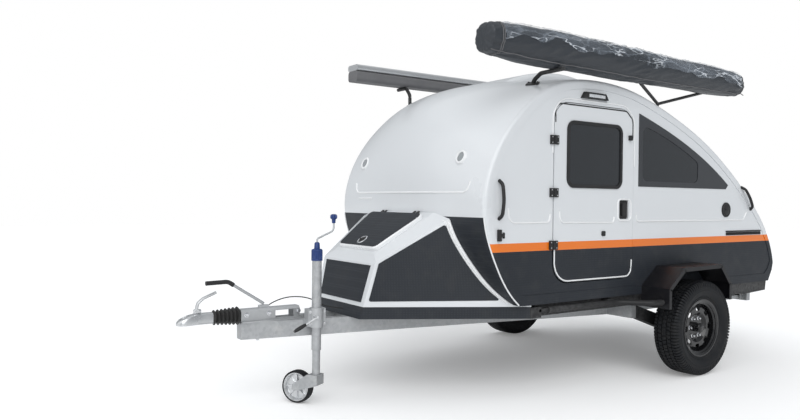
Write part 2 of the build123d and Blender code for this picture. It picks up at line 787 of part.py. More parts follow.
CROSS_STATIONS = (2330, 1640)
ARM_CROSS = DRAWBAR_END - BEAM_WIDTH
STEADY_Y = 640
STEADY_PIN = (-1166, 446)
STEADY_PIN_RADIUS = 6
STEADY_HALF = 11  # half its width across the caravan
CHEEK_IN, CHEEK_OUT = 15, 21  # faces of the steady's cheeks, from its middle
with BuildPart() as chassis_members:
    for station in CROSS_STATIONS:
        reach = beam_y(station) - beam_half - DRAWBAR_SPLAY * BEAM_WIDTH / 2
        add(block((station - 25, station + 25), (-reach, reach), (BEAM_BOTTOM + 20, BEAM_TOP)))
    add(block((ARM_CROSS, DRAWBAR_END), (-780, 780), (BEAM_BOTTOM, BEAM_TOP)))
    add(block((RAIL_END, RAIL_END + BEAM_WIDTH), (-700, 700), (BEAM_BOTTOM, BEAM_TOP)))
    for side in (1, -1):
        inner, outer = DRAWBAR_SPREAD - BEAM_WIDTH / 2, DRAWBAR_SPREAD + BEAM_WIDTH / 2
        rail = sorted((side * inner, side * outer))
        add(block((RAIL_END + BEAM_WIDTH, ARM_CROSS), rail, (BEAM_BOTTOM, BEAM_TOP)))
        # cheeks that hold the corner steady's pin
        for cheek in (-1, 1):
            faces = sorted((side * STEADY_Y + cheek * CHEEK_IN, side * STEADY_Y + cheek * CHEEK_OUT))
            span = (RAIL_END + BEAM_WIDTH, STEADY_PIN[0] + 16)
            add(block(span, faces, (STEADY_PIN[1] - 18, BEAM_TOP)))
        with BuildSketch(side_plane(side * STEADY_Y + CHEEK_OUT)):
            with Locations((ahead(STEADY_PIN[0]), STEADY_PIN[1])):
                Circle(STEADY_PIN_RADIUS)
        extrude(amount=2 * CHEEK_OUT)
chassis_members.part.label = "chassis_members"
export_step(chassis_members.part, "parts/chassis_members.step")

# corner steady, folded up along the rail
STEADY_LENGTH = 400
with BuildPart() as left_steady:
    with BuildSketch(side_plane(STEADY_Y + STEADY_HALF)):
        with BuildLine():
            Polyline(
                (ahead(STEADY_PIN[0]), STEADY_PIN[1] + 15),
                (ahead(STEADY_PIN[0]), STEADY_PIN[1] - 15),
                (ahead(STEADY_PIN[0] + STEADY_LENGTH), STEADY_PIN[1] - 13),
                (ahead(STEADY_PIN[0] + STEADY_LENGTH), STEADY_PIN[1] + 13),
                close=True,
            )
        make_face()
        with Locations((ahead(STEADY_PIN[0]), STEADY_PIN[1])):
            Circle(15)
            Circle(STEADY_PIN_RADIUS + RUNNING, mode=Mode.SUBTRACT)
    extrude(amount=2 * STEADY_HALF)
    add(
        block(
            (STEADY_PIN[0] + STEADY_LENGTH, STEADY_PIN[0] + STEADY_LENGTH + 8),
            (STEADY_Y - 45, STEADY_Y + 45),
            (STEADY_PIN[1] - 42, STEADY_PIN[1] + 42),
        )
    )
left_steady.part.label = "left_steady"
export_step(left_steady.part, "parts/left_steady.step")

with BuildPart() as right_steady:
    mirror(left_steady.part, about=Plane.XZ)
right_steady.part.label = "right_steady"
export_step(right_steady.part, "parts/right_steady.step")

# trailing arms carry the stub axles behind the chassis' cross tube
ARM_Y = 730
with BuildPart() as suspension_arms:
    with BuildSketch(side_plane(ARM_Y + 40)):
        with BuildLine():
            Polyline(
                (ahead(ARM_CROSS), BEAM_TOP - 8),
                (ahead(ARM_CROSS), BEAM_BOTTOM + 4),
                (ahead(60), AXLE_HEIGHT - 42),
                (ahead(-45), AXLE_HEIGHT - 42),
                (ahead(-45), AXLE_HEIGHT + 42),
                (ahead(60), AXLE_HEIGHT + 55),
                close=True,
            )
        make_face()
    extrude(amount=80)
    with BuildSketch(side_plane(ARM_Y + 39)):
        with Locations((ahead(0), AXLE_HEIGHT)):
            Circle(STUB_RADIUS + 18)
    extrude(amount=-60)
    with BuildSketch(side_plane(ARM_Y + 39)):
        with Locations((ahead(0), AXLE_HEIGHT)):
            Circle(STUB_RADIUS)
    extrude(amount=-(WHEEL_Y + 24 - ARM_Y - 39))
    mirror(about=Plane.XZ)
suspension_arms.part.label = "suspension_arms"
export_step(suspension_arms.part, "parts/suspension_arms.step")

# ---- wheels ----
DISC_OFFSET = 12  # wheel disc outboard of the tyre's middle plane
DISC_SHEET = 7
BEAD = RIM_RADIUS - 6
HAND_HOLES = 8


def turned_at_axle(points):
    """Section turned about the left wheel's axle, from distances outboard and radii."""
    with BuildPart() as solid:
        with BuildSketch(Plane.YZ.offset(ahead(0))):
            with BuildLine():
                Polyline(*[(WHEEL_Y + out, WHEEL_Z + reach) for out, reach in points], close=True)
            make_face()
        revolve(axis=Axis((ahead(0), 0, WHEEL_Z), (0, 1, 0)))
    return solid.part


def mirrored_section(points):
    """Section with its other half mirrored about the wheel's middle plane."""
    return points + [(-out, reach) for out, reach in reversed(points) if out]


tyre_half = TYRE_WIDTH / 2
tyre_top = TYRE_DIAMETER / 2
TYRE_SECTION = mirrored_section(
    [
        (tyre_half - 34, RIM_RADIUS + SEAT),
        (tyre_half - 27, RIM_RADIUS + SEAT),
        (tyre_half - 14, BEAD + 22),
        (tyre_half - 3, BEAD + 44),
        (tyre_half, (tyre_top + BEAD) / 2),
        (tyre_half - 5, tyre_top - 36),
        (tyre_half - 14, tyre_top - 16),
        (tyre_half - 30, tyre_top - 4),
        (0, tyre_top),
    ]
)
rim_half = RIM_WIDTH / 2
RIM_SECTION = [
    (-rim_half, RIM_RADIUS),
    (-rim_half, RIM_RADIUS - 8),
    (-rim_half + 8, RIM_BARREL - 6),
    (-rim_half + 22, RIM_BARREL - 6),
    (-rim_half + 30, RIM_BARREL - 18),
    (DISC_OFFSET - 4, RIM_BARREL - 18),
    (DISC_OFFSET + 20, RIM_BARREL - 50),
    (DISC_OFFSET + 22, 112),
    (DISC_OFFSET, 88),
    (DISC_OFFSET, 60),
    (-74, 54),
    (-74, STUB_RADIUS + RUNNING),
    (DISC_OFFSET + 46, STUB_RADIUS + RUNNING),
    (DISC_OFFSET + 46, HUB_BORE),
    (DISC_OFFSET + DISC_SHEET, HUB_BORE + 3),
    (DISC_OFFSET + DISC_SHEET, 85),
    (DISC_OFFSET + 22 + DISC_SHEET, 108),
    (DISC_OFFSET + 22 + DISC_SHEET, RIM_BARREL - 46),
    (DISC_OFFSET + 14, RIM_BARREL - 18),
    (rim_half - 20, RIM_BARREL - 18),
    (rim_half - 12, RIM_BARREL - 6),
    (rim_half - 6, RIM_BARREL - 6),
    (rim_half, RIM_RADIUS - 8),
    (rim_half, RIM_RADIUS),
]

with BuildPart() as left_tyre:
    add(turned_at_axle(TYRE_SECTION))

with BuildPart() as left_wheel:
    add(turned_at_axle(RIM_SECTION))
    with BuildSketch(side_plane(WHEEL_Y + tyre_half)):
        with Locations((ahead(0), WHEEL_Z)):
            with PolarLocations(134, HAND_HOLES):
                SlotOverall(46, 26, rotation=90)
    extrude(amount=TYRE_WIDTH, mode=Mode.SUBTRACT)
    # cap over the stub's end
    with BuildSketch(side_plane(WHEEL_Y + DISC_OFFSET + 52)):
        with Locations((ahead(0), WHEEL_Z)):
            Circle(HUB_BORE)
    extrude(amount=6)

for kind, left_piece in {"tyre": left_tyre, "wheel": left_wheel}.items():
    left_piece.part.label = f"left_{kind}"
    export_step(left_piece.part, f"parts/left_{kind}.step")
    with BuildPart() as right_piece:
        mirror(left_piece.part, about=Plane.XZ)
    right_piece.part.label = f"right_{kind}"
    export_step(right_piece.part, f"parts/right_{kind}.step")

# ---- fenders ----
FENDER = (
    (428, 515),
    (428, 657),
    (252, 784),
    (150, 802),
    (-110, 802),
    (-205, 790),
    (-326, 657),
    (-326, 533),
)


def fender_face(y, inset):
    """Faceted arch from foot to foot, moved inwards by the inset."""
    middle = (FENDER[0][0] + FENDER[-1][0]) / 2
    with BuildSketch(side_plane(y)) as shape:
        with BuildLine():
            Polyline(*[(ahead(station), height) for station, height in FENDER], close=True)
        make_face()
        if inset:
            offset(amount=-inset, kind=Kind.INTERSECTION)
            with Locations((ahead(middle), FENDER[0][1])):
                Rectangle(FENDER[0][0] - FENDER[-1][0] - 2 * inset, 160)
    return shape.sketch


with BuildPart() as fenders:
    extrude(fender_face(FENDER_OUT, 0), amount=FENDER_OUT - SIDE_FACE)
    extrude(
        fender_face(FENDER_OUT - FENDER_SHEET, FENDER_SHEET),
        amount=FENDER_OUT,
        mode=Mode.SUBTRACT,
    )
    extrude(fender_face(FENDER_OUT, FENDER_LIP), amount=FENDER_SHEET, mode=Mode.SUBTRACT)
    add(body_shell.part, mode=Mode.SUBTRACT)
    mirror(about=Plane.XZ)
fenders.part.label = "fenders"
export_step(fenders.part, "parts/fenders.step")

# ---- overrun coupling ----
HEAD_BACK = 3226
SHAFT_Z = 556
BALL_STATION = COUPLING_REACH - 46
BALL_RADIUS = 25
HEAD_FOOT = 526
with BuildPart() as coupling_head:
    with BuildSketch(Plane.XY.offset(HEAD_FOOT)):
        with BuildLine():
            Polyline(
                (ahead(BALL_STATION), 44),
                (ahead(HEAD_BACK + 70), 30),
                (ahead(HEAD_BACK), 30),
                (ahead(HEAD_BACK), -30),
                (ahead(HEAD_BACK + 70), -30),
                (ahead(BALL_STATION), -44),
            )
            ThreePointArc(
                (ahead(BALL_STATION), -44),
                (ahead(COUPLING_REACH), 0),
                (ahead(BALL_STATION), 44),
            )
        make_face()
    extrude(amount=62)
    fillet(coupling_head.edges().group_by(Axis.Z)[-1], 16)
    with Locations((ahead(BALL_STATION), 0, HEAD_FOOT + 22)):
        Sphere(BALL_RADIUS + 0.3, mode=Mode.SUBTRACT)
    with BuildSketch(Plane.XY.offset(HEAD_FOOT)):
        with Locations((ahead(BALL_STATION), 0)):
            Circle(BALL_RADIUS + 0.3)
    extrude(amount=22, mode=Mode.SUBTRACT)
coupling_head.part.label = "coupling_head"
export_step(coupling_head.part, "parts/coupling_head.step")

with BuildPart() as coupling_handle:
    add(block((3290, 3330), (-11, 11), (HEAD_FOOT + 62 + SEAT, 612)))
    add(bent_bar([(3316, 0, 606), (3306, 0, 648), (3268, 0, 676), (3202, 0, 702)], 9))
coupling_handle.part.label = "coupling_handle"
export_step(coupling_handle.part, "parts/coupling_handle.step")

BELLOWS_BACK = 3064
BELLOWS_RIBS = 7
with BuildPart() as coupling_bellows:
    pitch = (HEAD_BACK - BELLOWS_BACK) / BELLOWS_RIBS
    with BuildSketch(Plane.XZ):
        with BuildLine():
            points = [(ahead(BELLOWS_BACK), SHAFT_Z)]
            for rib in range(BELLOWS_RIBS):
                start = ahead(BELLOWS_BACK + rib * pitch)
                crest = SHAFT_Z + 54 - 1.6 * rib
                points += [(start, crest - 14), (start + pitch / 2, crest)]
            points += [(ahead(HEAD_BACK), SHAFT_Z + 30), (ahead(HEAD_BACK), SHAFT_Z)]
            Polyline(*points, close=True)
        make_face()
    revolve(axis=Axis((0, 0, SHAFT_Z), (1, 0, 0)))
    # hollow round the draw shaft; the lower side clears the drawbar's end
    with BuildSketch(cross_plane(BELLOWS_BACK - 5)):
        with Locations((0, SHAFT_Z)):
            Circle(24 + RUNNING)
    extrude(amount=HEAD_BACK - BELLOWS_BACK + 10, mode=Mode.SUBTRACT)
coupling_bellows.part.label = "coupling_bellows"
export_step(coupling_bellows.part, "parts/coupling_bellows.step")

HOUSING_BACK = 2690
HOUSING_TOP = 592
with BuildPart() as overrun_housing:
    with BuildSketch(cross_plane(HOUSING_BACK)):
        with BuildLine():
            Polyline(
                (-62, BEAM_TOP),
                (62, BEAM_TOP),
                (62, BEAM_TOP + 8),
                (40, BEAM_TOP + 8),
                (40, HOUSING_TOP - 14),
                (28, HOUSING_TOP),
                (-28, HOUSING_TOP),
                (-40, HOUSING_TOP - 14),
                (-40, BEAM_TOP + 8),
                (-62, BEAM_TOP + 8),
                close=True,
            )
        make_face()
    extrude(amount=BELLOWS_BACK - HOUSING_BACK)
    add(block((HOUSING_BACK - 10, 2890), (-34, 34), (BEAM_TOP + 8, HOUSING_TOP - 8)), mode=Mode.SUBTRACT)
    add(block((2730, 2850), (-70, 70), (BEAM_TOP + 14, HOUSING_TOP - 18)), mode=Mode.SUBTRACT)
    # draw shaft through the bellows to the coupling head
    with BuildSketch(cross_plane(BELLOWS_BACK)):
        with Locations((0, SHAFT_Z)):
            Circle(24)
    extrude(amount=HEAD_BACK - BELLOWS_BACK)
    # handbrake bracket
    add(block((2880, 2940), (-16, 16), (HOUSING_TOP, HOUSING_TOP + 16)))
overrun_housing.part.label = "overrun_housing"
export_step(overrun_housing.part, "parts/overrun_housing.step")

GRIP_START = (3098, 0, 738)
with BuildPart() as handbrake_lever:
    add(bent_bar([(2910, 0, HOUSING_TOP + 16.4 + 8), GRIP_START], 9))
handbrake_lever.part.label = "handbrake_lever"
export_step(handbrake_lever.part, "parts/handbrake_lever.step")

with BuildPart() as handbrake_grip:
    add(bent_bar([GRIP_START, (3130, 0, 760), (3262, 0, 757)], 13))
    add(handbrake_lever.part, mode=Mode.SUBTRACT)
handbrake_grip.part.label = "handbrake_grip"
export_step(handbrake_grip.part, "parts/handbrake_grip.step")

# ---- jockey wheel ----
JOCKEY_X = ahead(JOCKEY_STATION)


def ring_at_jockey(radius, bore, low, high):
    """Upright tube, or a bar where the bore is 0, on the jockey wheel's post."""
    with BuildPart() as ring:
        with BuildSketch(Plane.XY.offset(low)):
            with Locations((JOCKEY_X, JOCKEY_Y)):
                Circle(radius)
                if bore:
                    Circle(bore, mode=Mode.SUBTRACT)
        extrude(amount=high - low)
    return ring.part


with BuildPart() as jockey_outer_tube:
    add(ring_at_jockey(JOCKEY_OUTER_RADIUS, JOCKEY_INNER_RADIUS + 0.3, JOCKEY_TUBE_FOOT, JOCKEY_TUBE_TOP))
jockey_outer_tube.part.label = "jockey_outer_tube"
export_step(jockey_outer_tube.part, "parts/jockey_outer_tube.step")

CAP_STEP = JOCKEY_TUBE_TOP + 70
CAP_TOP = CAP_STEP + 42
with BuildPart() as jockey_cap:
    add(ring_at_jockey(34, 0, JOCKEY_TUBE_TOP, CAP_STEP))
    add(ring_at_jockey(17, 0, CAP_STEP, CAP_TOP))
jockey_cap.part.label = "jockey_cap"
export_step(jockey_cap.part, "parts/jockey_cap.step")

CRANK_RADIUS = 6
CRANK_END = (2532, JOCKEY_Y, 1104)
with BuildPart() as jockey_crank:
    crank_foot = ((JOCKEY_STATION, JOCKEY_Y, CAP_TOP), (JOCKEY_STATION, JOCKEY_Y, 1010))
    add(bent_bar([*crank_foot, (CRANK_END[0], JOCKEY_Y, 1058), CRANK_END], CRANK_RADIUS))
jockey_crank.part.label = "jockey_crank"
export_step(jockey_crank.part, "parts/jockey_crank.step")

KNOB_RADIUS = 24
KNOB_FLARE = 24  # height over which it widens
with BuildPart() as crank_knob:
    for rise, radius in ((SEAT, KNOB_RADIUS / 2), (KNOB_FLARE, KNOB_RADIUS)):
        with BuildSketch(Plane.XY.offset(CRANK_END[2] + rise)):
            with Locations((ahead(CRANK_END[0]), JOCKEY_Y)):
                Circle(radius)
    loft()
    with BuildSketch(Plane.XY.offset(CRANK_END[2] + KNOB_FLARE)):
        with Locations((ahead(CRANK_END[0]), JOCKEY_Y)):
            Circle(KNOB_RADIUS)
    extrude(amount=32)
    fillet(crank_knob.edges().group_by(Axis.Z)[-1], KNOB_RADIUS / 3)
crank_knob.part.label = "crank_knob"
export_step(crank_knob.part, "parts/crank_knob.step")

CLAMP_LOW = 474
CLAMP_HIGH = 592
beam_side = beam_y(JOCKEY_STATION) + beam_half
with BuildPart() as jockey_clamp:
    add(ring_at_jockey(JOCKEY_OUTER_RADIUS + 13, 0, CLAMP_LOW, CLAMP_HIGH))
    clamp_span = (JOCKEY_STATION - 58, JOCKEY_STATION + 58)
    add(block(clamp_span, (beam_side - 20, JOCKEY_Y + 8), (CLAMP_LOW + 6, CLAMP_HIGH - 6)))
    add(block(clamp_span, (40, beam_side + 12), (BEAM_TOP, CLAMP_HIGH)), mode=Mode.SUBTRACT)
    add(ring_at_jockey(JOCKEY_OUTER_RADIUS, 0, CLAMP_LOW, CLAMP_HIGH), mode=Mode.SUBTRACT)
    add(drawbar.part, mode=Mode.SUBTRACT)
jockey_clamp.part.label = "jockey_clamp"
export_step(jockey_clamp.part, "parts/jockey_clamp.step")

with BuildPart() as jockey_inner_tube:
    add(ring_at_jockey(JOCKEY_INNER_RADIUS, JOCKEY_INNER_RADIUS - 4, FORK_TOP + SEAT, JOCKEY_TUBE_TOP - 160))
jockey_inner_tube.part.label = "jockey_inner_tube"
export_step(jockey_inner_tube.part, "parts/jockey_inner_tube.step")

castor_heading = radians(JOCKEY_HEADING)
roll_dir = Vector(cos(castor_heading), sin(castor_heading), 0)
side_dir = Vector(-sin(castor_heading), cos(castor_heading), 0)
wheel_centre = Vector(JOCKEY_X, JOCKEY_Y, JOCKEY_WHEEL_RADIUS) + roll_dir * JOCKEY_TRAIL
FORK_SHEET = 5
FORK_HALF = JOCKEY_WHEEL_WIDTH / 2 + 6 + FORK_SHEET

with BuildPart() as jockey_fork:
    fork_plane = Plane(origin=(JOCKEY_X, JOCKEY_Y, 0), x_dir=roll_dir, z_dir=-side_dir)
    with BuildSketch(fork_plane.offset(-FORK_HALF)):
        with BuildLine():
            Polyline(
                (-30, FORK_TOP),
                (40, FORK_TOP),
                (JOCKEY_TRAIL + 16, JOCKEY_WHEEL_RADIUS + 20),
                (JOCKEY_TRAIL + 20, JOCKEY_WHEEL_RADIUS - 14),
                (JOCKEY_TRAIL - 20, JOCKEY_WHEEL_RADIUS - 18),
                (-30, FORK_TOP - 62),
                close=True,
            )
        make_face()
    extrude(amount=2 * FORK_HALF)
    with BuildSketch(fork_plane.offset(-FORK_HALF + FORK_SHEET)):
        with Locations((JOCKEY_TRAIL, JOCKEY_WHEEL_RADIUS)):
            Circle(JOCKEY_WHEEL_RADIUS + 8)
    extrude(amount=2 * (FORK_HALF - FORK_SHEET), mode=Mode.SUBTRACT)
    with BuildSketch(fork_plane.offset(-FORK_HALF)):
        with Locations((JOCKEY_TRAIL, JOCKEY_WHEEL_RADIUS)):
            Circle(JOCKEY_PIN_RADIUS)
    extrude(amount=2 * FORK_HALF)
    # stem that turns in the foot of the inner tube
    add(ring_at_jockey(JOCKEY_INNER_RADIUS - 4 - RUNNING, 0, FORK_TOP - 10, FORK_TOP + 70))
jockey_fork.part.label = "jockey_fork"
export_step(jockey_fork.part, "parts/jockey_fork.step")


def jockey_turned(points):
    """Section turned about the jockey wheel's axle, from along-axle and radius points."""
    section = Plane(origin=wheel_centre, x_dir=side_dir, z_dir=side_dir.cross(Vector(0, 0, 1)))
    with BuildPart() as solid:
        with BuildSketch(section):
            with BuildLine():
                Polyline(*points, close=True)
            make_face()
        revolve(axis=Axis(wheel_centre, side_dir))
    return solid


jockey_half = JOCKEY_WHEEL_WIDTH / 2
jockey_tyre = jockey_turned(
    [
        (-jockey_half + 6, JOCKEY_RIM_RADIUS),
        (-jockey_half, JOCKEY_RIM_RADIUS + 6),
        (-jockey_half, JOCKEY_WHEEL_RADIUS - 12),
        (-jockey_half + 10, JOCKEY_WHEEL_RADIUS),
        (jockey_half - 10, JOCKEY_WHEEL_RADIUS),
        (jockey_half, JOCKEY_WHEEL_RADIUS - 12),
        (jockey_half, JOCKEY_RIM_RADIUS + 6),
        (jockey_half - 6, JOCKEY_RIM_RADIUS),
    ]
)
jockey_tyre.part.label = "jockey_tyre"
export_step(jockey_tyre.part, "parts/jockey_tyre.step")

jockey_rim = jockey_turned(
    [
        (-jockey_half - 2, JOCKEY_PIN_RADIUS + RUNNING),
        (-jockey_half - 2, 20),
        (-6, 26),
        (-6, 60),
        (-jockey_half + 8, JOCKEY_RIM_RADIUS - 8),
        (-jockey_half + 8, JOCKEY_RIM_RADIUS),
        (jockey_half - 8, JOCKEY_RIM_RADIUS),
        (jockey_half - 8, JOCKEY_RIM_RADIUS - 8),
        (6, 60),
        (6, 26),
        (jockey_half + 2, 20),
        (jockey_half + 2, JOCKEY_PIN_RADIUS + RUNNING),
    ]
)
jockey_rim.part.label = "jockey_rim"
export_step(jockey_rim.part, "parts/jockey_rim.step")

# ---- awnings and their brackets ----
with BuildPart() as awning_bag:
    for station, radius in ((BAG_BACK, BAG_TAIL_RADIUS), (BAG_FRONT, BAG_RADIUS)):
        with BuildSketch(cross_plane(station)):
            with Locations((BAG_Y, BAG_BOTTOM + radius)):
                RectangleRounded(2 * radius, 2 * radius, radius * 0.7)
    loft()
    fillet(awning_bag.faces().filter_by(Axis.X).edges(), 30)
awning_bag.part.label = "awning_bag"
export_step(awning_bag.part, "parts/awning_bag.step")

RAIL_DEPTH = 46
with BuildPart() as awning_case:
    with BuildSketch(cross_plane(CASE_BACK)):
        with Locations((CASE_Y, CASE_BOTTOM + (CASE_HEIGHT - RAIL_DEPTH) / 2)):
            RectangleRounded(CASE_WIDTH - 8, CASE_HEIGHT - RAIL_DEPTH, 26)
    extrude(amount=CASE_FRONT - CASE_BACK)
awning_case.part.label = "awning_case"
export_step(awning_case.part, "parts/awning_case.step")

with BuildPart() as awning_rail:
    with BuildSketch(cross_plane(CASE_BACK)):
        with Locations((CASE_Y, CASE_BOTTOM + CASE_HEIGHT - RAIL_DEPTH / 2)):
            RectangleRounded(CASE_WIDTH, RAIL_DEPTH, 18)
    extrude(amount=CASE_FRONT - CASE_BACK)
awning_rail.part.label = "awning_rail"
export_step(awning_rail.part, "parts/awning_rail.step")

BRACKET_RADIUS = 14
with BuildPart() as awning_brackets:
    for station, foot_z in ((BRACKET_FRONT, 1970), (BRACKET_REAR, 1900)):
        add(
            bent_bar(
                [
                    (station, BRACKET_FOOT_Y, foot_z),
                    (station, BRACKET_FOOT_Y + 4, 2046 - (1996 - foot_z) * 0.7),
                    (station, 790, BAG_BOTTOM - BRACKET_RADIUS),
                    (station, 980, BAG_BOTTOM - BRACKET_RADIUS),
                ],
                BRACKET_RADIUS,
            )
        )
        add(
            bent_bar(
                [
                    (station, -BRACKET_FOOT_Y, foot_z),
                    (station, -BRACKET_FOOT_Y - 4, 2120 - (1996 - foot_z) * 0.7),
                    (station, -770, CASE_BOTTOM - BRACKET_RADIUS),
                    (station, -890, CASE_BOTTOM - BRACKET_RADIUS),
                ],
                BRACKET_RADIUS,
            )
        )
    add(body_block.part, mode=Mode.SUBTRACT)
awning_brackets.part.label = "awning_brackets"
export_step(awning_brackets.part, "parts/awning_brackets.step")

# ---- outside fittings ----
HANDLE_BAR = 11  # radius
with BuildPart() as grab_handles:
    add(
        bent_bar(
            [
                (1778, SIDE_FACE, 1374),
                (1778, SIDE_FACE + 34, 1352),
                (1776, SIDE_FACE + 46, 1258),
                (1778, SIDE_FACE + 34, 1164),
                (1778, SIDE_FACE, 1142),
            ],
            HANDLE_BAR,
        )
    )
    add(
        bent_bar(
            [
                (-819, SIDE_FACE, 1386),
                (-836, SIDE_FACE + 34, 1366),
                (-890, SIDE_FACE + 44, 1296),
                (-946, SIDE_FACE + 34, 1224),
                (-962, SIDE_FACE, 1203),
            ],
            HANDLE_BAR,
        )
    )
    add(block((-1400, 1900), (SIDE_FACE - 60, SIDE_FACE), (1000, 1500)), mode=Mode.SUBTRACT)
    add(body_shell.part, mode=Mode.SUBTRACT)
    mirror(about=Plane.XZ)
grab_handles.part.label = "grab_handles"
export_step(grab_handles.part, "parts/grab_handles.step")

# how far each stands out, its centre, and its length, height and corner
FITTINGS = {
    "filler": (12, (-632, 1205), (60, 96, 29)),
    "vent": (6, (-862, 1016), (500, 22, 8)),
    "awning_light": (34, (923, 1944), (236, 44, 14)),
    "step_catch": (26, (1777, 1046), (26, 72, 8)),
}
with BuildPart() as side_fittings:
    for proud, centre, size in FITTINGS.values():
        extrude(rounded_side_face(SIDE_FACE + proud, centre, *size), amount=proud)
    mirror(about=Plane.XZ)
side_fittings.part.label = "side_fittings"
export_step(side_fittings.part, "parts/side_fittings.step")

# step tubes under the body's edge, swept out to the fenders
STEP_RADIUS = 20
STEP_Z = 560
STEP_Y = 850
STEP_FRONT = 1352
FLARE_Y = 1036
with BuildPart() as side_steps:
    add(
        bent_bar(
            [
                (STEP_FRONT, STEP_Y, STEP_Z),
                (700, STEP_Y + 4, STEP_Z),
                (520, FLARE_Y, STEP_Z),
                (FENDER[0][0], FLARE_Y, STEP_Z),
            ],
            STEP_RADIUS,
        )
    )
    add(
        bent_bar(
            [
                (FENDER[-1][0], FLARE_Y - 30, STEP_Z),
                (-740, FLARE_Y - 30, STEP_Z),
                (-1170, 880, STEP_Z),
                (-1215, 880, STEP_Z),
            ],
            STEP_RADIUS,
        )
    )
    for station, length in ((1460, 90), (760, 60), (-1180, 50)):
        low = FLOOR_BOTTOM if station > STEP_FRONT else STEP_Z - 12
        outer = STEP_Y + (36 if station < 0 else 8)
        span = (station - length / 2, station + length / 2)
        add(block(span, (FLOOR_HALF_WIDTH, outer), (low, STEP_Z + 24)))
    add(block((STEP_FRONT - 10, 1430), (STEP_Y - 20, STEP_Y + 8), (STEP_Z - 12, STEP_Z + 12)))
    add(nose_box.part, mode=Mode.SUBTRACT)
    mirror(about=Plane.XZ)
side_steps.part.label = "side_steps"
export_step(side_steps.part, "parts/side_steps.step")

with BuildPart() as lamps:
    # round lights on the front skin
    lamp_plane = Plane(origin=(ahead(1800), 586, 1500), z_dir=(cos(0.36), 0, sin(0.36)))
    with BuildSketch(lamp_plane):
        Circle(34)
    extrude(amount=70)
    # tail lamps
    add(block((-1350, -1280), (640, 760), (700, 780)))
    add(body_block.part, mode=Mode.SUBTRACT)
    mirror(about=Plane.XZ)
lamps.part.label = "lamps"
export_step(lamps.part, "parts/lamps.step")

# ---- brake cable, from the handbrake to the tub ----
CABLE_RADIUS = 3.5
CABLE_ROUTE = [(2882, 0, 602), (2800, 0, 648), (2620, 12, 640), (2500, 40, 560), (2396, 60, 556)]
with BuildPart() as brake_cable:
    add(bent_bar(CABLE_ROUTE, CABLE_RADIUS))
    add(overrun_housing.part, mode=Mode.SUBTRACT)
    add(nose_box.part, mode=Mode.SUBTRACT)
brake_cable.part.label = "brake_cable"
export_step(brake_cable.part, "parts/brake_cable.step")
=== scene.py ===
import math

import bmesh
import bpy
from mathutils import Matrix, Vector, noise
from mathutils.bvhtree import BVHTree


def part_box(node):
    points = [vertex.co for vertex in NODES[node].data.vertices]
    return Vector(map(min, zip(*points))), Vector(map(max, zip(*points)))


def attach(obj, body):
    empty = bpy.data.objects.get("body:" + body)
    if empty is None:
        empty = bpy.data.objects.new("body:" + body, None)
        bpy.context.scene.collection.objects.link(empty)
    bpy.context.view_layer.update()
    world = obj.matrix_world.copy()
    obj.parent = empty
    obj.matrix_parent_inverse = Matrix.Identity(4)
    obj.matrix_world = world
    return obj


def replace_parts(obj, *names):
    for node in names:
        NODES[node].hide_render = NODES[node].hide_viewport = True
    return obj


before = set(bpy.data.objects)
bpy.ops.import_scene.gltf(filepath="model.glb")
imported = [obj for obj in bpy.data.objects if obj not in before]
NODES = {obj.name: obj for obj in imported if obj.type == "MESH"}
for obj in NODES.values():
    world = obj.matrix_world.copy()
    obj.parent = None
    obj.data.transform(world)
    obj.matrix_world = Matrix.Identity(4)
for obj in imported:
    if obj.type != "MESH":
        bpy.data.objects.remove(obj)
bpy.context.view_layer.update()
AXLE = -1.039  # x of the wheel axle; stations are measured ahead of it, in millimetres


def at(station, y, height):
    """Point in metres from a station ahead of the axle, a y and a height in millimetres."""
    return Vector((AXLE + station / 1000, y / 1000, height / 1000))


# ---- camera ----
CAMERA_PLACE = (4658, 4170, 1249.3)  # station, y and height
CAMERA_TURNS = (53.58, 0.737, 0.601)  # heading, dip and roll, in degrees
CAMERA_LENS, CAMERA_SHIFT = 32.696325, -0.051295


def make_camera():
    """Camera ahead of the caravan and to its left, at chest height."""
    heading, dip, roll = (math.radians(turn) for turn in CAMERA_TURNS)
    ahead = Vector((-math.cos(heading) * math.cos(dip), -math.sin(heading) * math.cos(dip), -math.sin(dip)))
    right = Vector((-math.sin(heading), math.cos(heading), 0))
    up = right.cross(ahead)
    level, tilt = math.cos(roll), math.sin(roll)
    right, up = right * level + up * tilt, up * level - right * tilt
    data = bpy.data.cameras.new("studio_camera")
    data.lens, data.shift_x = CAMERA_LENS, CAMERA_SHIFT
    data.clip_start, data.clip_end = 0.1, 200
    camera = bpy.data.objects.new("studio_camera", data)
    bpy.context.collection.objects.link(camera)
    turn = Matrix((right, up, -ahead)).transposed()
    camera.matrix_world = Matrix.Translation(at(*CAMERA_PLACE)) @ turn.to_4x4()
    bpy.context.scene.camera = camera


make_camera()


# ---- brake cable ----
CABLE_ROUTE = ((2882, 0, 602), (2800, 0, 648), (2620, 12, 640), (2500, 40, 560), (2396, 60, 556))
CABLE_RADIUS, CABLE_LENGTH = 0.0035, 0.514
# a point's radius counts in the curve's box, so it is small and the bevel makes up for it
POINT_RADIUS = 0.004


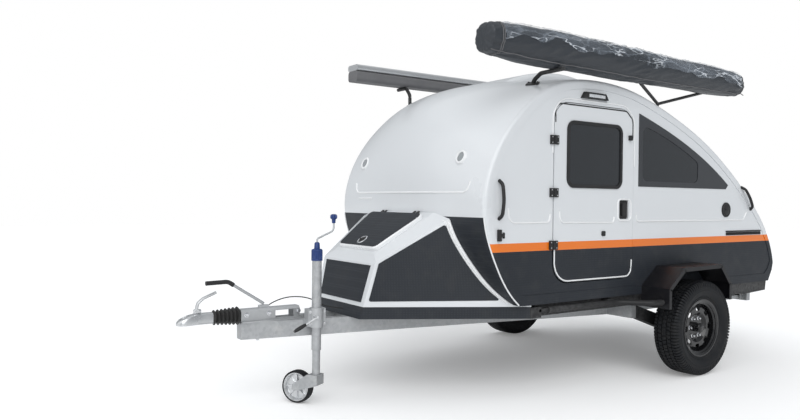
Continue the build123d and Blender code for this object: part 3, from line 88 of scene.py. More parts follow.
def make_cable():
    """Cable on one smooth line, from the handbrake's bracket into the nose box."""
    curve = bpy.data.curves.new("handbrake_cable", "CURVE")
    curve.dimensions = "3D"
    line = curve.splines.new("NURBS")
    line.points.add(len(CABLE_ROUTE) - 1)
    for point, place in zip(line.points, CABLE_ROUTE):
        point.co = (*at(*place), 1)
        point.radius = POINT_RADIUS
    line.order_u = 3
    line.use_endpoint_u = True
    curve.bevel_depth, curve.bevel_resolution, curve.use_fill_caps = CABLE_RADIUS / POINT_RADIUS, 4, True
    cable = bpy.data.objects.new("handbrake_cable", curve)
    bpy.context.collection.objects.link(cable)
    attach(cable, "caravan")
    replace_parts(cable, "brake_cable")
    tuple(at(*CABLE_ROUTE[0]))
    return cable


cable = make_cable()


# ---- shader maths ----
class Signal:
    """A value inside a material, which Python's own operators work on."""

    def __init__(self, tree, socket):
        self.tree, self.socket = tree, socket

    def math(self, operation, *others):
        """One Math node on the values given."""
        node = self.tree.nodes.new("ShaderNodeMath")
        node.operation = operation
        for slot, value in zip(node.inputs, others):
            feed(self.tree, slot, value)
        return Signal(self.tree, node.outputs[0])

    def __add__(self, other):
        return self.math("ADD", self, other)

    def __radd__(self, other):
        return self.math("ADD", other, self)

    def __sub__(self, other):
        return self.math("SUBTRACT", self, other)

    def __rsub__(self, other):
        return self.math("SUBTRACT", other, self)

    def __mul__(self, other):
        return self.math("MULTIPLY", self, other)

    def __rmul__(self, other):
        return self.math("MULTIPLY", other, self)

    def clamped(self):
        """Held between 0 and 1."""
        return self.math("MINIMUM", self.math("MAXIMUM", self, 0.0), 1.0)

    def wave(self):
        """Ripple between 0 and 1."""
        return self.math("SINE", self) * 0.5 + 0.5

    def size(self):
        """Without its sign."""
        return self.math("ABSOLUTE", self)


def feed(tree, slot, value):
    """Links a signal to a socket, or sets the socket's own value."""
    if isinstance(value, Signal):
        tree.links.new(value.socket, slot)
    elif slot.type == "RGBA" and len(value) == 3:
        slot.default_value = (*value, 1)
    else:
        slot.default_value = value


class Finish:
    """One procedural material under construction."""

    def __init__(self, name):
        self.material = bpy.data.materials.new(name)
        self.material.use_nodes = True
        self.tree = self.material.node_tree
        self.tree.nodes.clear()
        self.place = self.add("ShaderNodeTexCoord", out="Object")

    def add(self, kind, settings=None, sockets=None, out=0):
        """Any node, with its settings first and then the values or links of its sockets."""
        node = self.tree.nodes.new(kind)
        for key, value in (settings or {}).items():
            setattr(node, key, value)
        for key, value in (sockets or {}).items():
            feed(self.tree, node.inputs[key], value)
        return Signal(self.tree, node.outputs[out]) if node.outputs else None

    def noise(self, scale, detail=3.0, roughness=0.55, at=None):
        """Cloudy pattern of a scale."""
        sockets = {"Vector": at or self.place, "Scale": scale, "Detail": detail, "Roughness": roughness}
        return self.add("ShaderNodeTexNoise", sockets=sockets)

    def cells(self, scale, at=None, feature="F1", out="Distance"):
        """Pattern of cells of a scale."""
        sockets = {"Vector": at or self.place, "Scale": scale}
        return self.add("ShaderNodeTexVoronoi", {"feature": feature}, sockets, out)

    def stretched(self, factors):
        """Coordinates for a pattern that runs longer one way than the other."""
        return self.add("ShaderNodeVectorMath", {"operation": "MULTIPLY"}, {0: self.place, 1: factors})

    def axis(self, name):
        """X, Y or Z in metres, from the object's own place."""
        return self.add("ShaderNodeSeparateXYZ", sockets={0: self.place}, out=name)

    def mix(self, mask, first, second):
        """The first colour where the mask is 0 and the second where it is 1."""
        return self.add("ShaderNodeMix", {"data_type": "RGBA"}, {0: mask, 6: first, 7: second}, 2)

    def band(self, value, low, high):
        """0 below low, 1 above high, smooth between."""
        sockets = {0: value, 1: low, 2: high}
        return self.add("ShaderNodeMapRange", {"interpolation_type": "SMOOTHSTEP"}, sockets)

    def bump(self, height, strength, distance, under=None):
        """Normal from a height, over another one if it is given."""
        sockets = {"Height": height, "Strength": strength, "Distance": distance}
        if under:
            sockets["Normal"] = under
        return self.add("ShaderNodeBump", sockets=sockets)

    def edge_wear(self):
        """1 on convex edges, 0 on flats."""
        pointed = self.add("ShaderNodeNewGeometry", out="Pointiness")
        return self.band(pointed, 0.52, 0.6)

    def done(self, **sockets):
        """Finished material, from the shader's sockets by name."""
        named = {}
        for key, value in sockets.items():
            named[key.replace("_", " ").title().replace("Ior", "IOR")] = value
        shader = self.add("ShaderNodeBsdfPrincipled", sockets=named)
        self.add("ShaderNodeOutputMaterial", sockets={"Surface": shader})
        return self.material


FINISHES = {}


def finish_for(function):
    """Builds a material once and keeps it under its function's name."""
    FINISHES[function.__name__] = function(Finish(function.__name__))
    return function


@finish_for
def white_gelcoat(f):
    """Glossy white skin with rain streaks low down."""
    peel = f.noise(260, 2)
    cloud = f.noise(1.7, 4)
    low = 1 - f.band(f.axis("Z"), 0.55, 1.1)
    streak = f.noise(6, 4, at=f.stretched((9, 9, 0.8)))
    film = ((streak - 0.52) * 3).clamped() * low * 0.22 + (cloud - 0.45) * 0.06
    colour = f.mix(film.clamped(), (0.80, 0.81, 0.82), (0.56, 0.54, 0.50))
    return f.done(
        base_color=colour,
        roughness=0.24 + cloud * 0.1 + film * 0.4,
        coat_weight=0.5 - film,
        coat_roughness=0.08,
        normal=f.bump(peel, 0.06, 0.0005),
    )


def weave_cells(f):
    """Fine chequer of the composite cladding, 1 on the raised cells."""
    across = (f.axis("X") * 420).wave() * (f.axis("Z") * 420).wave()
    return f.band(across, 0.2, 0.7)


def cladding_colour(f, sweep, dust, cells):
    """Near black with a paler chequer and a little dust."""
    colour = f.mix(sweep, (0.012, 0.015, 0.020), (0.022, 0.026, 0.033))
    colour = f.mix(cells * 0.35, colour, (0.034, 0.039, 0.047))
    return f.mix(dust * 0.12, colour, (0.16, 0.15, 0.13))


def cladding_marks(f):
    """Slow sweep, fine chequer and dust of the cladding."""
    sweep, cells = f.noise(2.3, 4), weave_cells(f)
    return sweep, cells, ((f.noise(11, 5) - 0.5) * 2).clamped()


@finish_for
def dark_cladding(f):
    """Bare cladding, with its chequer just raised."""
    sweep, cells, dust = cladding_marks(f)
    return f.done(
        base_color=cladding_colour(f, sweep, dust, cells),
        roughness=0.46 + sweep * 0.12 + dust * 0.15,
        specular_ior_level=0.28,
        normal=f.bump(cells, 0.25, 0.0012),
    )


def gelcoat_over_cladding(f, cladding, stripe):
    """White gelcoat painted light grey as shade, dark cladding where the first mask is 1 and orange where
    the second is.
    """
    sweep, cells, dust = cladding_marks(f)
    cloud = f.noise(1.7, 4)
    # painted shade: both tones of this white are greyer and a little bluer than the beads' gelcoat, standing
    # in for shade and daylight on the broad panels
    white = f.mix(cloud, (0.69, 0.71, 0.73), (0.64, 0.66, 0.68))
    orange = f.mix(cloud, (0.80, 0.19, 0.006), (0.72, 0.15, 0.004))
    colour = f.mix(cladding, white, cladding_colour(f, sweep, dust, cells))
    fine = f.noise(260, 2) * (1 - cladding) * 0.2 + cells * cladding
    return f.done(
        base_color=f.mix(stripe, colour, orange),
        roughness=0.25 + cloud * 0.08 + cladding * 0.22,
        specular_ior_level=0.32,
        coat_weight=(1 - cladding) * 0.5,
        coat_roughness=0.08,
        normal=f.bump(fine, 0.22, 0.0012),
    )


TUB_TOP, STRIPE_FOOT, STRIPE_TOP, SKIRT_TOP = 0.590, 0.940, 0.992, 1.150
PAINT_EDGE = 0.0004  # half the width of the blend between two paints
FLANK = (0.846, 0.848)  # half widths between which the side begins
NOSE = (AXLE + 1.4, AXLE + 1.41)  # places between which the front begins


def below(f, height):
    """1 under a height and 0 above it."""
    return 1 - f.band(f.axis("Z"), height - PAINT_EDGE, height + PAINT_EDGE)


@finish_for
def side_paint(f):
    """White above, orange stripe, dark lower side, and the dark skirt across the front."""
    flank, nose = f.band(f.axis("Y").size(), *FLANK), f.band(f.axis("X"), *NOSE)
    under_stripe, under_top = below(f, STRIPE_FOOT), below(f, STRIPE_TOP)
    skirt = below(f, SKIRT_TOP) * nose * (1 - flank)
    cladding = (under_stripe * (1 - nose + flank).clamped() + skirt).clamped()
    return gelcoat_over_cladding(f, cladding, (under_top - under_stripe).clamped() * flank)


@finish_for
def nose_paint(f):
    """White above the dark tub at the nose's foot."""
    tub = below(f, TUB_TOP)
    return gelcoat_over_cladding(f, tub, tub * 0.0)


@finish_for
def tinted_glass(f):
    """Dark window with a faint smear."""
    smear = f.noise(14, 4, at=f.stretched((1, 1, 3)))
    return f.done(
        base_color=f.mix(smear, (0.012, 0.014, 0.017), (0.020, 0.023, 0.027)),
        roughness=0.04 + smear * 0.06,
        coat_weight=0.6,
        coat_roughness=0.03,
        ior=1.5,
    )


@finish_for
def black_moulding(f):
    """Grained plastic that is a little uneven in tone."""
    grain = f.noise(520, 2)
    patch = f.noise(9, 3)
    return f.done(
        base_color=f.mix(patch, (0.016, 0.016, 0.017), (0.030, 0.030, 0.031)),
        roughness=0.42 + patch * 0.16,
        specular_ior_level=0.3,
        normal=f.bump(grain, 0.25, 0.0005),
    )


@finish_for
def black_paint(f):
    """Satin paint, worn to metal here and there on its edges."""
    peel = f.noise(300, 2)
    patch = f.noise(5, 4)
    wear = f.edge_wear() * (f.noise(40, 3) * 1.4 - 0.4).clamped()
    colour = f.mix(patch, (0.010, 0.010, 0.011), (0.022, 0.022, 0.023))
    return f.done(
        base_color=f.mix(wear * 0.6, colour, (0.20, 0.20, 0.20)),
        roughness=0.38 + patch * 0.18,
        specular_ior_level=0.3,
        metallic=wear * 0.5,
        normal=f.bump(peel, 0.1, 0.0006),
    )


@finish_for
def galvanised_steel(f):
    """Spangled zinc with a dull bloom."""
    spangle = f.cells(60, out="Color")
    tone = f.add("ShaderNodeSeparateColor", sockets={0: spangle})
    patch = f.noise(5, 5)
    bloom = ((f.noise(18, 6) - 0.55) * 4).clamped()
    colour = f.mix(tone * 0.5 + patch * 0.5, (0.36, 0.37, 0.38), (0.52, 0.53, 0.54))
    return f.done(
        base_color=f.mix(bloom * 0.5, colour, (0.62, 0.62, 0.60)),
        roughness=0.42 + tone * 0.14 + bloom * 0.2,
        metallic=0.7 - bloom * 0.3,
        normal=f.bump(patch, 0.1, 0.002),
    )


@finish_for
def zinc_casting(f):
    """Sand-cast metal."""
    sand = f.noise(240, 4)
    patch = f.noise(9, 4)
    return f.done(
        base_color=f.mix(patch, (0.44, 0.45, 0.46), (0.60, 0.61, 0.62)),
        roughness=0.4 + patch * 0.2,
        metallic=0.85,
        normal=f.bump(sand, 0.3, 0.001),
    )


@finish_for
def bright_chrome(f):
    """Plating on nuts, bolts and the lock."""
    patch = f.noise(30, 3)
    return f.done(
        base_color=f.mix(patch, (0.62, 0.63, 0.65), (0.74, 0.75, 0.77)),
        roughness=0.12 + patch * 0.12,
        metallic=0.95,
    )


@finish_for
def tyre_rubber(f):
    """Dusty black rubber."""
    dust = ((f.noise(22, 5) - 0.46) * 3).clamped()
    return f.done(
        base_color=f.mix(dust * 0.35, (0.009, 0.010, 0.012), (0.050, 0.047, 0.043)),
        roughness=0.55 + dust * 0.2,
        specular_ior_level=0.25,
        normal=f.bump(f.noise(300, 3), 0.25, 0.0008),
    )


@finish_for
def bellows_rubber(f):
    """Softer black rubber of the bellows and the cable's sheath."""
    fine = f.noise(200, 3)
    return f.done(
        base_color=f.mix(f.noise(12), (0.012, 0.012, 0.012), (0.028, 0.027, 0.026)),
        roughness=0.5 + fine * 0.15,
        normal=f.bump(fine, 0.2, 0.0006),
    )


@finish_for
def blue_plastic(f):
    """Deep blue caps and knobs."""
    fine = f.noise(340, 2)
    patch = f.noise(20, 3)
    return f.done(
        base_color=f.mix(patch, (0.006, 0.028, 0.13), (0.010, 0.042, 0.19)),
        roughness=0.36 + patch * 0.12,
        normal=f.bump(fine, 0.15, 0.0004),
    )


@finish_for
def bag_cover(f):
    """Coated cloth with a fine weave and long soft folds."""
    warp = (f.axis("X") * 5200).wave()
    weft = (f.axis("Z") * 5200).wave()
    fade = f.noise(5, 4)
    fold = f.noise(16, 4, at=f.stretched((0.5, 1.4, 1.4)))
    colour = f.mix(fade * 0.6 + warp * weft * 0.4, (0.024, 0.028, 0.034), (0.046, 0.052, 0.061))
    weave = f.bump(warp * weft, 0.12, 0.0005)
    return f.done(
        base_color=colour,
        roughness=0.34 + fade * 0.16,
        specular_ior_level=0.4,
        normal=f.bump(fold, 0.5, 0.006, weave),
    )


@finish_for
def grey_roll(f):
    """Woven grey cloth of the rolled awning and the piping."""
    weave = (f.axis("X") * 4000).wave() * (f.axis("Z") * 4000).wave()
    shade = f.noise(7, 4)
    colour = f.mix(shade, (0.10, 0.10, 0.105), (0.16, 0.16, 0.165))
    return f.done(base_color=colour, roughness=0.7, normal=f.bump(weave, 0.2, 0.0008))


@finish_for
def plain_aluminium(f):
    """Drawn rail, with fine lines along it."""
    lines = f.noise(90, 3, at=f.stretched((0.02, 6, 6)))
    patch = f.noise(4, 3)
    return f.done(
        base_color=f.mix(patch, (0.58, 0.59, 0.60), (0.70, 0.71, 0.72)),
        roughness=0.3 + lines * 0.15,
        metallic=0.9,
        normal=f.bump(lines, 0.08, 0.0005),
    )


@finish_for
def lamp_lens(f):
    """Clear markers at the front and red lamps at the tail."""
    ribs = (f.axis("Y") * 900).wave()
    clear = f.mix(f.noise(30) * 0.4, (0.26, 0.28, 0.29), (0.42, 0.44, 0.45))
    red = f.mix(ribs * 0.3, (0.42, 0.010, 0.008), (0.55, 0.02, 0.015))
    return f.done(
        base_color=f.mix(f.band(f.axis("X"), -0.01, 0.01), red, clear),
        roughness=0.12 + ribs * 0.05,
        coat_weight=0.5,
        normal=f.bump(ribs, 0.3, 0.0008),
    )


@finish_for
def gloss_black(f):
    """Lacquered wheels and hub caps."""
    patch = f.noise(6, 4)
    dust = ((f.noise(26, 5) - 0.5) * 2.4).clamped()
    return f.done(
        base_color=f.mix(dust * 0.1, (0.005, 0.005, 0.006), (0.04, 0.038, 0.035)),
        roughness=0.16 + patch * 0.08 + dust * 0.3,
        specular_ior_level=0.35,
        coat_weight=0.6 - dust * 0.4,
        coat_roughness=0.06,
        normal=f.bump(f.noise(260, 2), 0.05, 0.0005),
    )


@finish_for
def gloss_moulding(f):
    """Moulded sheet with a low sheen and a fine pebble."""
    patch = f.noise(7, 4)
    dust = ((f.noise(24, 5) - 0.5) * 2.2).clamped()
    return f.done(
        base_color=f.mix(dust * 0.2, (0.007, 0.007, 0.009), (0.045, 0.042, 0.038)),
        roughness=0.32 + patch * 0.1 + dust * 0.2,
        specular_ior_level=0.4,
        normal=f.bump(f.cells(900), 0.1, 0.0004),
    )


@finish_for
def polished_zinc(f):
    """Plated castings, bright with a patchy bloom."""
    sand, patch = f.noise(160, 4), f.noise(11, 5)
    bloom = ((f.noise(24, 6) - 0.56) * 4).clamped()
    colour = f.mix(patch, (0.56, 0.57, 0.58), (0.78, 0.79, 0.80))
    return f.done(
        base_color=f.mix(bloom * 0.5, colour, (0.60, 0.60, 0.58)),
        roughness=0.20 + patch * 0.16 + bloom * 0.25,
        metallic=0.9 - bloom * 0.3,
        normal=f.bump(sand, 0.18, 0.0008),
    )


@finish_for
def silver_lens(f):
    """Ribbed lens in front of a reflector."""
    ribs = (f.axis("X") * 1400).wave()
    return f.done(
        base_color=f.mix(ribs, (0.50, 0.52, 0.54), (0.78, 0.80, 0.82)),
        roughness=0.18 + ribs * 0.1,
        metallic=0.35,
        coat_weight=0.5,
        normal=f.bump(ribs, 0.3, 0.0006),
    )


@finish_for
def satin_panel(f):
    """Smooth dark panel round the rear window."""
    patch = f.noise(4, 4)
    return f.done(
        base_color=f.mix(patch, (0.030, 0.033, 0.038), (0.042, 0.045, 0.051)),
        roughness=0.34 + patch * 0.1,
        normal=f.bump(f.noise(380, 2), 0.08, 0.0004),
    )


@finish_for
def clear_film(f):
    """Crinkled clear wrap, with painted highlights: painted whiter along its creases, with painted glints
    along its folds and a painted sheen in its haze.
    """
    # crease mask: the film is made more opaque, so paler, at its creases as a painted highlight; it also
    # shapes their bump
    crease = f.band(f.cells(13, at=f.stretched((0.35, 1, 1)), feature="DISTANCE_TO_EDGE"), 0.0, 0.07)
    # haze mask: real haze in the roughness, and a painted sheen where its colour turns pale grey
    haze_and_sheen = f.noise(5, 3, at=f.stretched((0.3, 1, 1)))
    fold = (f.noise(11, 2, at=f.stretched((0.45, 1.6, 1.6))) - 0.5).size()
    # where the painted glints show
    lit = f.band(f.noise(3.5, 3, at=f.stretched((0.8, 1, 1))), 0.46, 0.60)
    # painted glints: thin near-white lines along the folds, in the colour and the opacity
    glint = (1 - f.band(fold, 0.0, 0.035)) * lit
    colour = f.mix(haze_and_sheen, (0.22, 0.26, 0.32), (0.50, 0.56, 0.64))
    return f.done(
        base_color=f.mix(glint, colour, (0.80, 0.84, 0.89)),
        roughness=0.08 + haze_and_sheen * 0.10,
        coat_weight=0.8,
        alpha=(0.16 + (1 - crease) * 0.22 + (haze_and_sheen - 0.5) * 0.8 + glint * 0.6).clamped(),
        normal=f.bump(crease + haze_and_sheen, 0.5, 0.004),
    )


@finish_for
def studio_floor(f):
    """Pale floor that the camera sees a little brighter, up to white."""
    cloud = f.noise(0.6, 3)
    seen = f.add("ShaderNodeLightPath", out="Is Camera Ray")
    return f.done(
        base_color=f.mix(cloud, (0.97, 0.97, 0.97), (0.99, 0.99, 0.99)),
        roughness=0.95,
        emission_color=f.mix(seen, (0, 0, 0), (0.16, 0.16, 0.16)),
        emission_strength=1.0,
    )


# ---- CAD nodes take their finishes ----
COATS = {
    "white_gelcoat": "rear_hatch nose_lid",
    "side_paint": "body_shell left_side_panel right_side_panel left_door right_door",
    "nose_paint": "nose_box",
    "dark_cladding": "nose_front_panel",
    "satin_panel": "rear_window_panels",
    "gloss_black": "left_wheel right_wheel",
    "tinted_glass": "rear_window_glass left_door_glass right_door_glass",
    "black_moulding": "door_hinges hatch_hinges lid_hinges handbrake_grip grab_handles side_fittings "
    "left_door_frame right_door_frame left_door_hardware right_door_hardware fenders",
    "black_paint": "floor_panel suspension_arms awning_brackets side_steps",
    "galvanised_steel": "drawbar chassis_members jockey_outer_tube jockey_inner_tube jockey_fork "
    "left_steady right_steady jockey_rim",
    "zinc_casting": "coupling_head coupling_handle overrun_housing handbrake_lever "
    "jockey_clamp jockey_crank",
    "tyre_rubber": "left_tyre right_tyre jockey_tyre",
    "bellows_rubber": "coupling_bellows brake_cable",
    "blue_plastic": "jockey_cap crank_knob",
    "bag_cover": "awning_bag",
    "grey_roll": "awning_case",
    "plain_aluminium": "awning_rail",
    "lamp_lens": "lamps",
}
for coat, names in COATS.items():
    for name in names.split():
        mesh = NODES[name].data
        mesh.materials.clear()
        mesh.materials.append(FINISHES[coat])

cable.data.materials.append(FINISHES["bellows_rubber"])


# ---- building pieces ----
BOTH_SIDES = ((1, "left"), (-1, "right"))
OUTSIDE = 2000  # y from which rays are sent inward, in millimetres as stations are
OUTSIDE_M = OUTSIDE / 1000


def turns(steps, start=0.0):
    """Even angles once round."""
    return [(k + start) * math.tau / steps for k in range(steps)]


def spread(low, high, steps):
    """Even run of numbers from low to high."""
    return [low + (high - low) * k / steps for k in range(steps + 1)]


def turning(axis, steps):
    """An axis at unit length, and the directions away from it, one per step."""
    axis = Vector(axis).normalized()
    side = axis.orthogonal().normalized()
    other = axis.cross(side)
    return axis, [side * math.cos(a) + other * math.sin(a) for a in turns(steps)]


class Shape:
    """Geometry of one piece, gathered before it becomes an object."""

    def __init__(self):
        self.mesh = bmesh.new()

    def rings(self, rings, closed=False):
        """Skin between rings of points, with its ends filled unless the last ring joins the first."""
        rows = [[self.mesh.verts.new(point) for point in ring] for ring in rings]
        count = len(rows[0])
        pairs = list(zip(rows, rows[1:])) + ([(rows[-1], rows[0])] if closed else [])
        for near, far in pairs:
            for i in range(count):
                j = (i + 1) % count
                self.mesh.faces.new((near[i], near[j], far[j], far[i]))
        if not closed:
            self.mesh.faces.new(rows[0][::-1])
            self.mesh.faces.new(rows[-1])

    def rod(self, points, radius, sides=8, closed=False, wide=1.0, up=(0, 0, 1)):
        """Round or flattened bar along points; wide stretches it across the up direction."""
        points = [Vector(point) for point in points]
        count, rings = len(points), []
        angles = turns(sides, 0.5)
        for i, point in enumerate(points):
            before = points[i - 1] if i or closed else point
            after = points[(i + 1) % count] if i < count - 1 or closed else point
            along = (after - before).normalized()
            across = along.cross(Vector(up))
            across = (across if across.length > 0.05 else along.orthogonal()).normalized()
            lift = across.cross(along)
            size = radius[i] if isinstance(radius, (list, tuple)) else radius
            rings.append(
                [point + (across * math.cos(a) * wide + lift * math.sin(a)) * size for a in angles]
            )
        self.rings(rings, closed)

    def turned(self, profile, place, axis, steps=32):
        """Solid of revolution from (along, radius) pairs, closed at both ends."""
        axis, ways = turning(axis, steps)
        rings = [[Vector(place) + axis * along + way * radius for way in ways] for along, radius in profile]
        self.rings(rings)

    def hoop(self, profile, place, axis, steps=48):
        """Ring of revolution whose (along, radius) profile closes on itself."""
        axis, ways = turning(axis, steps)
        rings = [[Vector(place) + axis * along + way * radius for along, radius in profile] for way in ways]
        self.rings(rings, closed=True)

    def lobed(self, profile, place, lobes, depth, steps=96):
        """Upright turned form with finger lobes, from (height, radius, share of the lobes' depth) levels."""
        rings = []
        for height, radius, share in profile:
            ring = []
            for a in turns(steps):
                reach = radius - depth * share * (0.5 - 0.5 * math.cos(lobes * a))
                ring.append(Vector(place) + Vector((reach * math.cos(a), reach * math.sin(a), height)))
            rings.append(ring)
        self.rings(rings)

    def folded(self, path, section):
        """Sheet section of (inward, y) points carried along a path of points at y 0, mitred at its folds."""
        ways = [(second - first).normalized() for first, second in zip(path, path[1:])]
        flats = [Vector((-way.z, 0, way.x)) for way in ways]
        rings = []
        for spot, before, after in zip(path, flats[:1] + flats, flats + flats[-1:]):
            inward = (before + after) / (1 + before.dot(after))
            rings.append([spot + inward * depth + Vector((0, y, 0)) for depth, y in section])
        self.rings(rings)

    def block(self, middle, size, turn=None, bevel=0.0):
        """Block, with softened edges if a bevel is given; turn is its rotation matrix."""
        part = bmesh.new()
        bmesh.ops.create_cube(part, size=1)
        bmesh.ops.scale(part, vec=Vector(size), verts=part.verts)
        if bevel:
            bmesh.ops.bevel(part, geom=part.edges[:], offset=bevel, segments=2, affect="EDGES", profile=0.5)
        spin = turn.to_4x4() if turn else Matrix.Identity(4)
        self.take(part, Matrix.Translation(middle) @ spin)

    def bolt(self, place, axis, across, height, washer=True):
        """Hexagon head, on its washer unless that is left out."""
        if washer:
            self.turned([(0, across * 0.7), (0.0015, across * 0.7), (0.002, across * 0.62)], place, axis, 20)
        profile = [(0, across / 2), (height * 0.8, across / 2), (height, across * 0.4)]
        self.turned(profile, place, axis, 6)

    def take(self, part, move):
        """Adds a finished bmesh to this one, moved to its place."""
        part.transform(move)
        scratch = bpy.data.meshes.new("scratch")
        part.to_mesh(scratch)
        part.free()
        self.mesh.from_mesh(scratch)
        bpy.data.meshes.remove(scratch)

    def mirrored(self):
        """Adds the copy on the caravan's other side."""
        everything = self.mesh.verts[:] + self.mesh.edges[:] + self.mesh.faces[:]
        copied = bmesh.ops.duplicate(self.mesh, geom=everything)["geom"]
        self.cross_over(
            [item for item in copied if isinstance(item, bmesh.types.BMVert)],
            [item for item in copied if isinstance(item, bmesh.types.BMFace)],
        )
        return self

    def flipped(self):
        """The shape carried over to the caravan's other side."""
        self.cross_over(self.mesh.verts, self.mesh.faces[:])
        return self

    def cross_over(self, verts, faces):
        """Moves some of the geometry to the other side, with its faces still turned outward."""
        for vertex in verts:
            vertex.co.y = -vertex.co.y
        bmesh.ops.reverse_faces(self.mesh, faces=faces)

    def piece(self, name, finish, body="caravan", smooth=35):
        """Object made from the shape, on its body; edges sharper than the smooth angle stay crisp."""
        mesh = bpy.data.meshes.new(name)
        bmesh.ops.recalc_face_normals(self.mesh, faces=self.mesh.faces)
        self.mesh.to_mesh(mesh)
        self.mesh.free()
        mesh.materials.append(FINISHES[finish])
        mesh.shade_smooth()
        mesh.set_sharp_from_angle(angle=math.radians(smooth))
        made = bpy.data.objects.new(name, mesh)
        bpy.context.collection.objects.link(made)
        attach(made, body)
        return made


TREES = {}


def touch(origin, direction, *nodes):
    """Nearest place and outward normal where a ray meets any of the CAD nodes."""
    best, nearest = None, math.inf
    for name in nodes:
        if name not in TREES:
            mesh = NODES[name].data
            corners = [vertex.co for vertex in mesh.vertices]
            TREES[name] = BVHTree.FromPolygons(corners, [face.vertices for face in mesh.polygons])
        place, normal, _, reach = TREES[name].ray_cast(Vector(origin), Vector(direction).normalized())
        if place and reach < nearest:
            best, nearest = (place, normal if normal.dot(direction) < 0 else -normal), reach
    return best


def rounded(points, radius, closed=False, steps=6):
    """The same run of points with its corners rounded."""
    points = [Vector(point) for point in points]
    out, count = [], len(points)
    for i, corner in enumerate(points):
        if not closed and i in (0, count - 1):
            out.append(corner)
            continue
        before, after = (points[i - 1] - corner), (points[(i + 1) % count] - corner)
        half = before.angle(after) / 2
        reach = min(radius / math.tan(half), before.length * 0.49, after.length * 0.49)
        bend = reach * math.tan(half)
        middle = corner + (before.normalized() + after.normalized()).normalized() * bend / math.sin(half)
        first = corner + before.normalized() * reach - middle
        last = corner + after.normalized() * reach - middle
        turn = math.pi - 2 * half
        for k in range(steps + 1):
            share = turn * k / steps
            out.append(middle + (first * math.sin(turn - share) + last * math.sin(share)) / math.sin(turn))
    return out


def spaced(points, gap, closed=False):
    """The same run with extra points, none further apart than the gap."""
    out = []
    pairs = list(zip(points, points[1:])) + ([(points[-1], points[0])] if closed else [])
    for first, last in pairs:
        count = max(1, math.ceil((last - first).length / gap))
        out += [first.lerp(last, k / count) for k in range(count)]
    return out if closed else out + [points[-1]]


def on_side(path, nodes, closed=False):
    """Run of (station, height) points laid on the left side of the given nodes."""
    flat = [at(station, OUTSIDE, height) for station, height in path]
    met = [touch(point, (0, -1, 0), *nodes) for point in spaced(flat, 0.03, closed)]
    return [place for place, _ in filter(None, met)]


def side_bead(name, path, nodes, radius, finish, bodies=("caravan", "caravan"), closed=False):
    """Bead along a path on the left side, and its copy on the right side."""
    for (side, label), body in zip(BOTH_SIDES, bodies):
        laid = [Vector((point.x, side * point.y, point.z)) for point in on_side(path, nodes, closed)]
        shape = Shape()
        shape.rod(laid, radius, 8, closed, up=(0, 1, 0))
        shape.piece(f"{label}_{name}", finish, body)


def panel(name, outline, lay, thickness, finish, body="caravan", grid=0.03, mirror=False):
    """Sheet cut to a flat outline and laid on a surface; lay turns (a, b) into a place and a normal."""
    sunk = 0.001  # its underside, below the surface
    flat = bmesh.new()
    flat.faces.new([flat.verts.new((a, b, 0)) for a, b in outline])
    low = [min(point[k] for point in outline) for k in (0, 1)]
    high = [max(point[k] for point in outline) for k in (0, 1)]
    for k in (0, 1):
        normal = Vector((1 - k, k, 0))
        for step in range(1, int((high[k] - low[k]) / grid) + 1):
            spot = normal * (low[k] + step * grid)
            everything = flat.verts[:] + flat.edges[:] + flat.faces[:]
            bmesh.ops.bisect_plane(flat, geom=everything, plane_co=spot, plane_no=normal)
    bmesh.ops.triangulate(flat, faces=[face for face in flat.faces if len(face.verts) > 4])
    tops, feet = {}, {}
    shape = Shape()
    for vertex in flat.verts:
        place, normal = lay(vertex.co.x, vertex.co.y)
        tops[vertex] = shape.mesh.verts.new(place + normal * thickness)
        feet[vertex] = shape.mesh.verts.new(place - normal * sunk)
    for face in flat.faces:
        corners = [loop.vert for loop in face.loops]
        shape.mesh.faces.new([tops[corner] for corner in corners])
        shape.mesh.faces.new([feet[corner] for corner in reversed(corners)])
    for edge in flat.edges:
        if len(edge.link_faces) == 1:
            a, b = edge.verts
            shape.mesh.faces.new((tops[a], tops[b], feet[b], feet[a]))
    flat.free()
    if mirror:
        shape.mirrored()
    shape.piece(name, finish, body)


def run(points, radius, closed=False, steps=6):
    """Run of flat points with rounded corners, in the points' own units."""
    made = rounded([Vector((*point, 0)) for point in points], radius, closed, steps)
    return [(point.x, point.y) for point in made]


# ---- nose: panels, rims and lid ----
def nose_side(x, height):
    """Place and normal on the nose box's left side."""
    met = touch((x, OUTSIDE_M, height), (0, -1, 0), "nose_box")
    return met or (Vector((x, 0.6, height)), Vector((0, 1, 0)))


LID_RISE = Vector((-0.316, 0, 0.222)).normalized()  # up the lid's slope
LID_OUT = Vector((LID_RISE.z, 0, -LID_RISE.x))
LID_FOOT = at(2278, 0, 948)


def on_lid(up, across):
    """Place and normal on the lid's top, from the distance up from its front edge and across."""
    return touch(LID_FOOT + LID_RISE * up + Vector((0, across, 0)) + LID_OUT * 0.2, -LID_OUT, "nose_lid")


lid_panel = run([(0.009, 0.232), (0.378, 0.326), (0.378, -0.326), (0.009, -0.232)], 0.036, True)
panel("lid_panel", lid_panel, on_lid, 0.0025, "dark_cladding", "nose_locker_lid", 0.04)

# lock in a chrome cup, with a finger bar across its turning part
place, normal = on_lid(0.066, 0)
lock = Shape()
cup = [(0, 0.041), (0.004, 0.040), (0.006, 0.036), (0.005, 0.031), (0.003, 0.030), (0.003, 0.004)]
lock.turned(cup, place, normal, 40)
lock.piece("lid_lock", "bright_chrome", "nose_locker_lid")
lock_turn = Shape()
lock_turn.turned([(0.003, 0.028), (0.0055, 0.028), (0.0065, 0.026), (0.0065, 0.004)], place, normal, 36)
lock_bar = (0.010, 0.044, 0.008)
lock_turn.block(place + normal * 0.009, lock_bar, LID_RISE.to_track_quat("X", "Z").to_matrix(), 0.002)
lock_turn.piece("lid_lock_turn", "black_moulding", "nose_locker_lid")


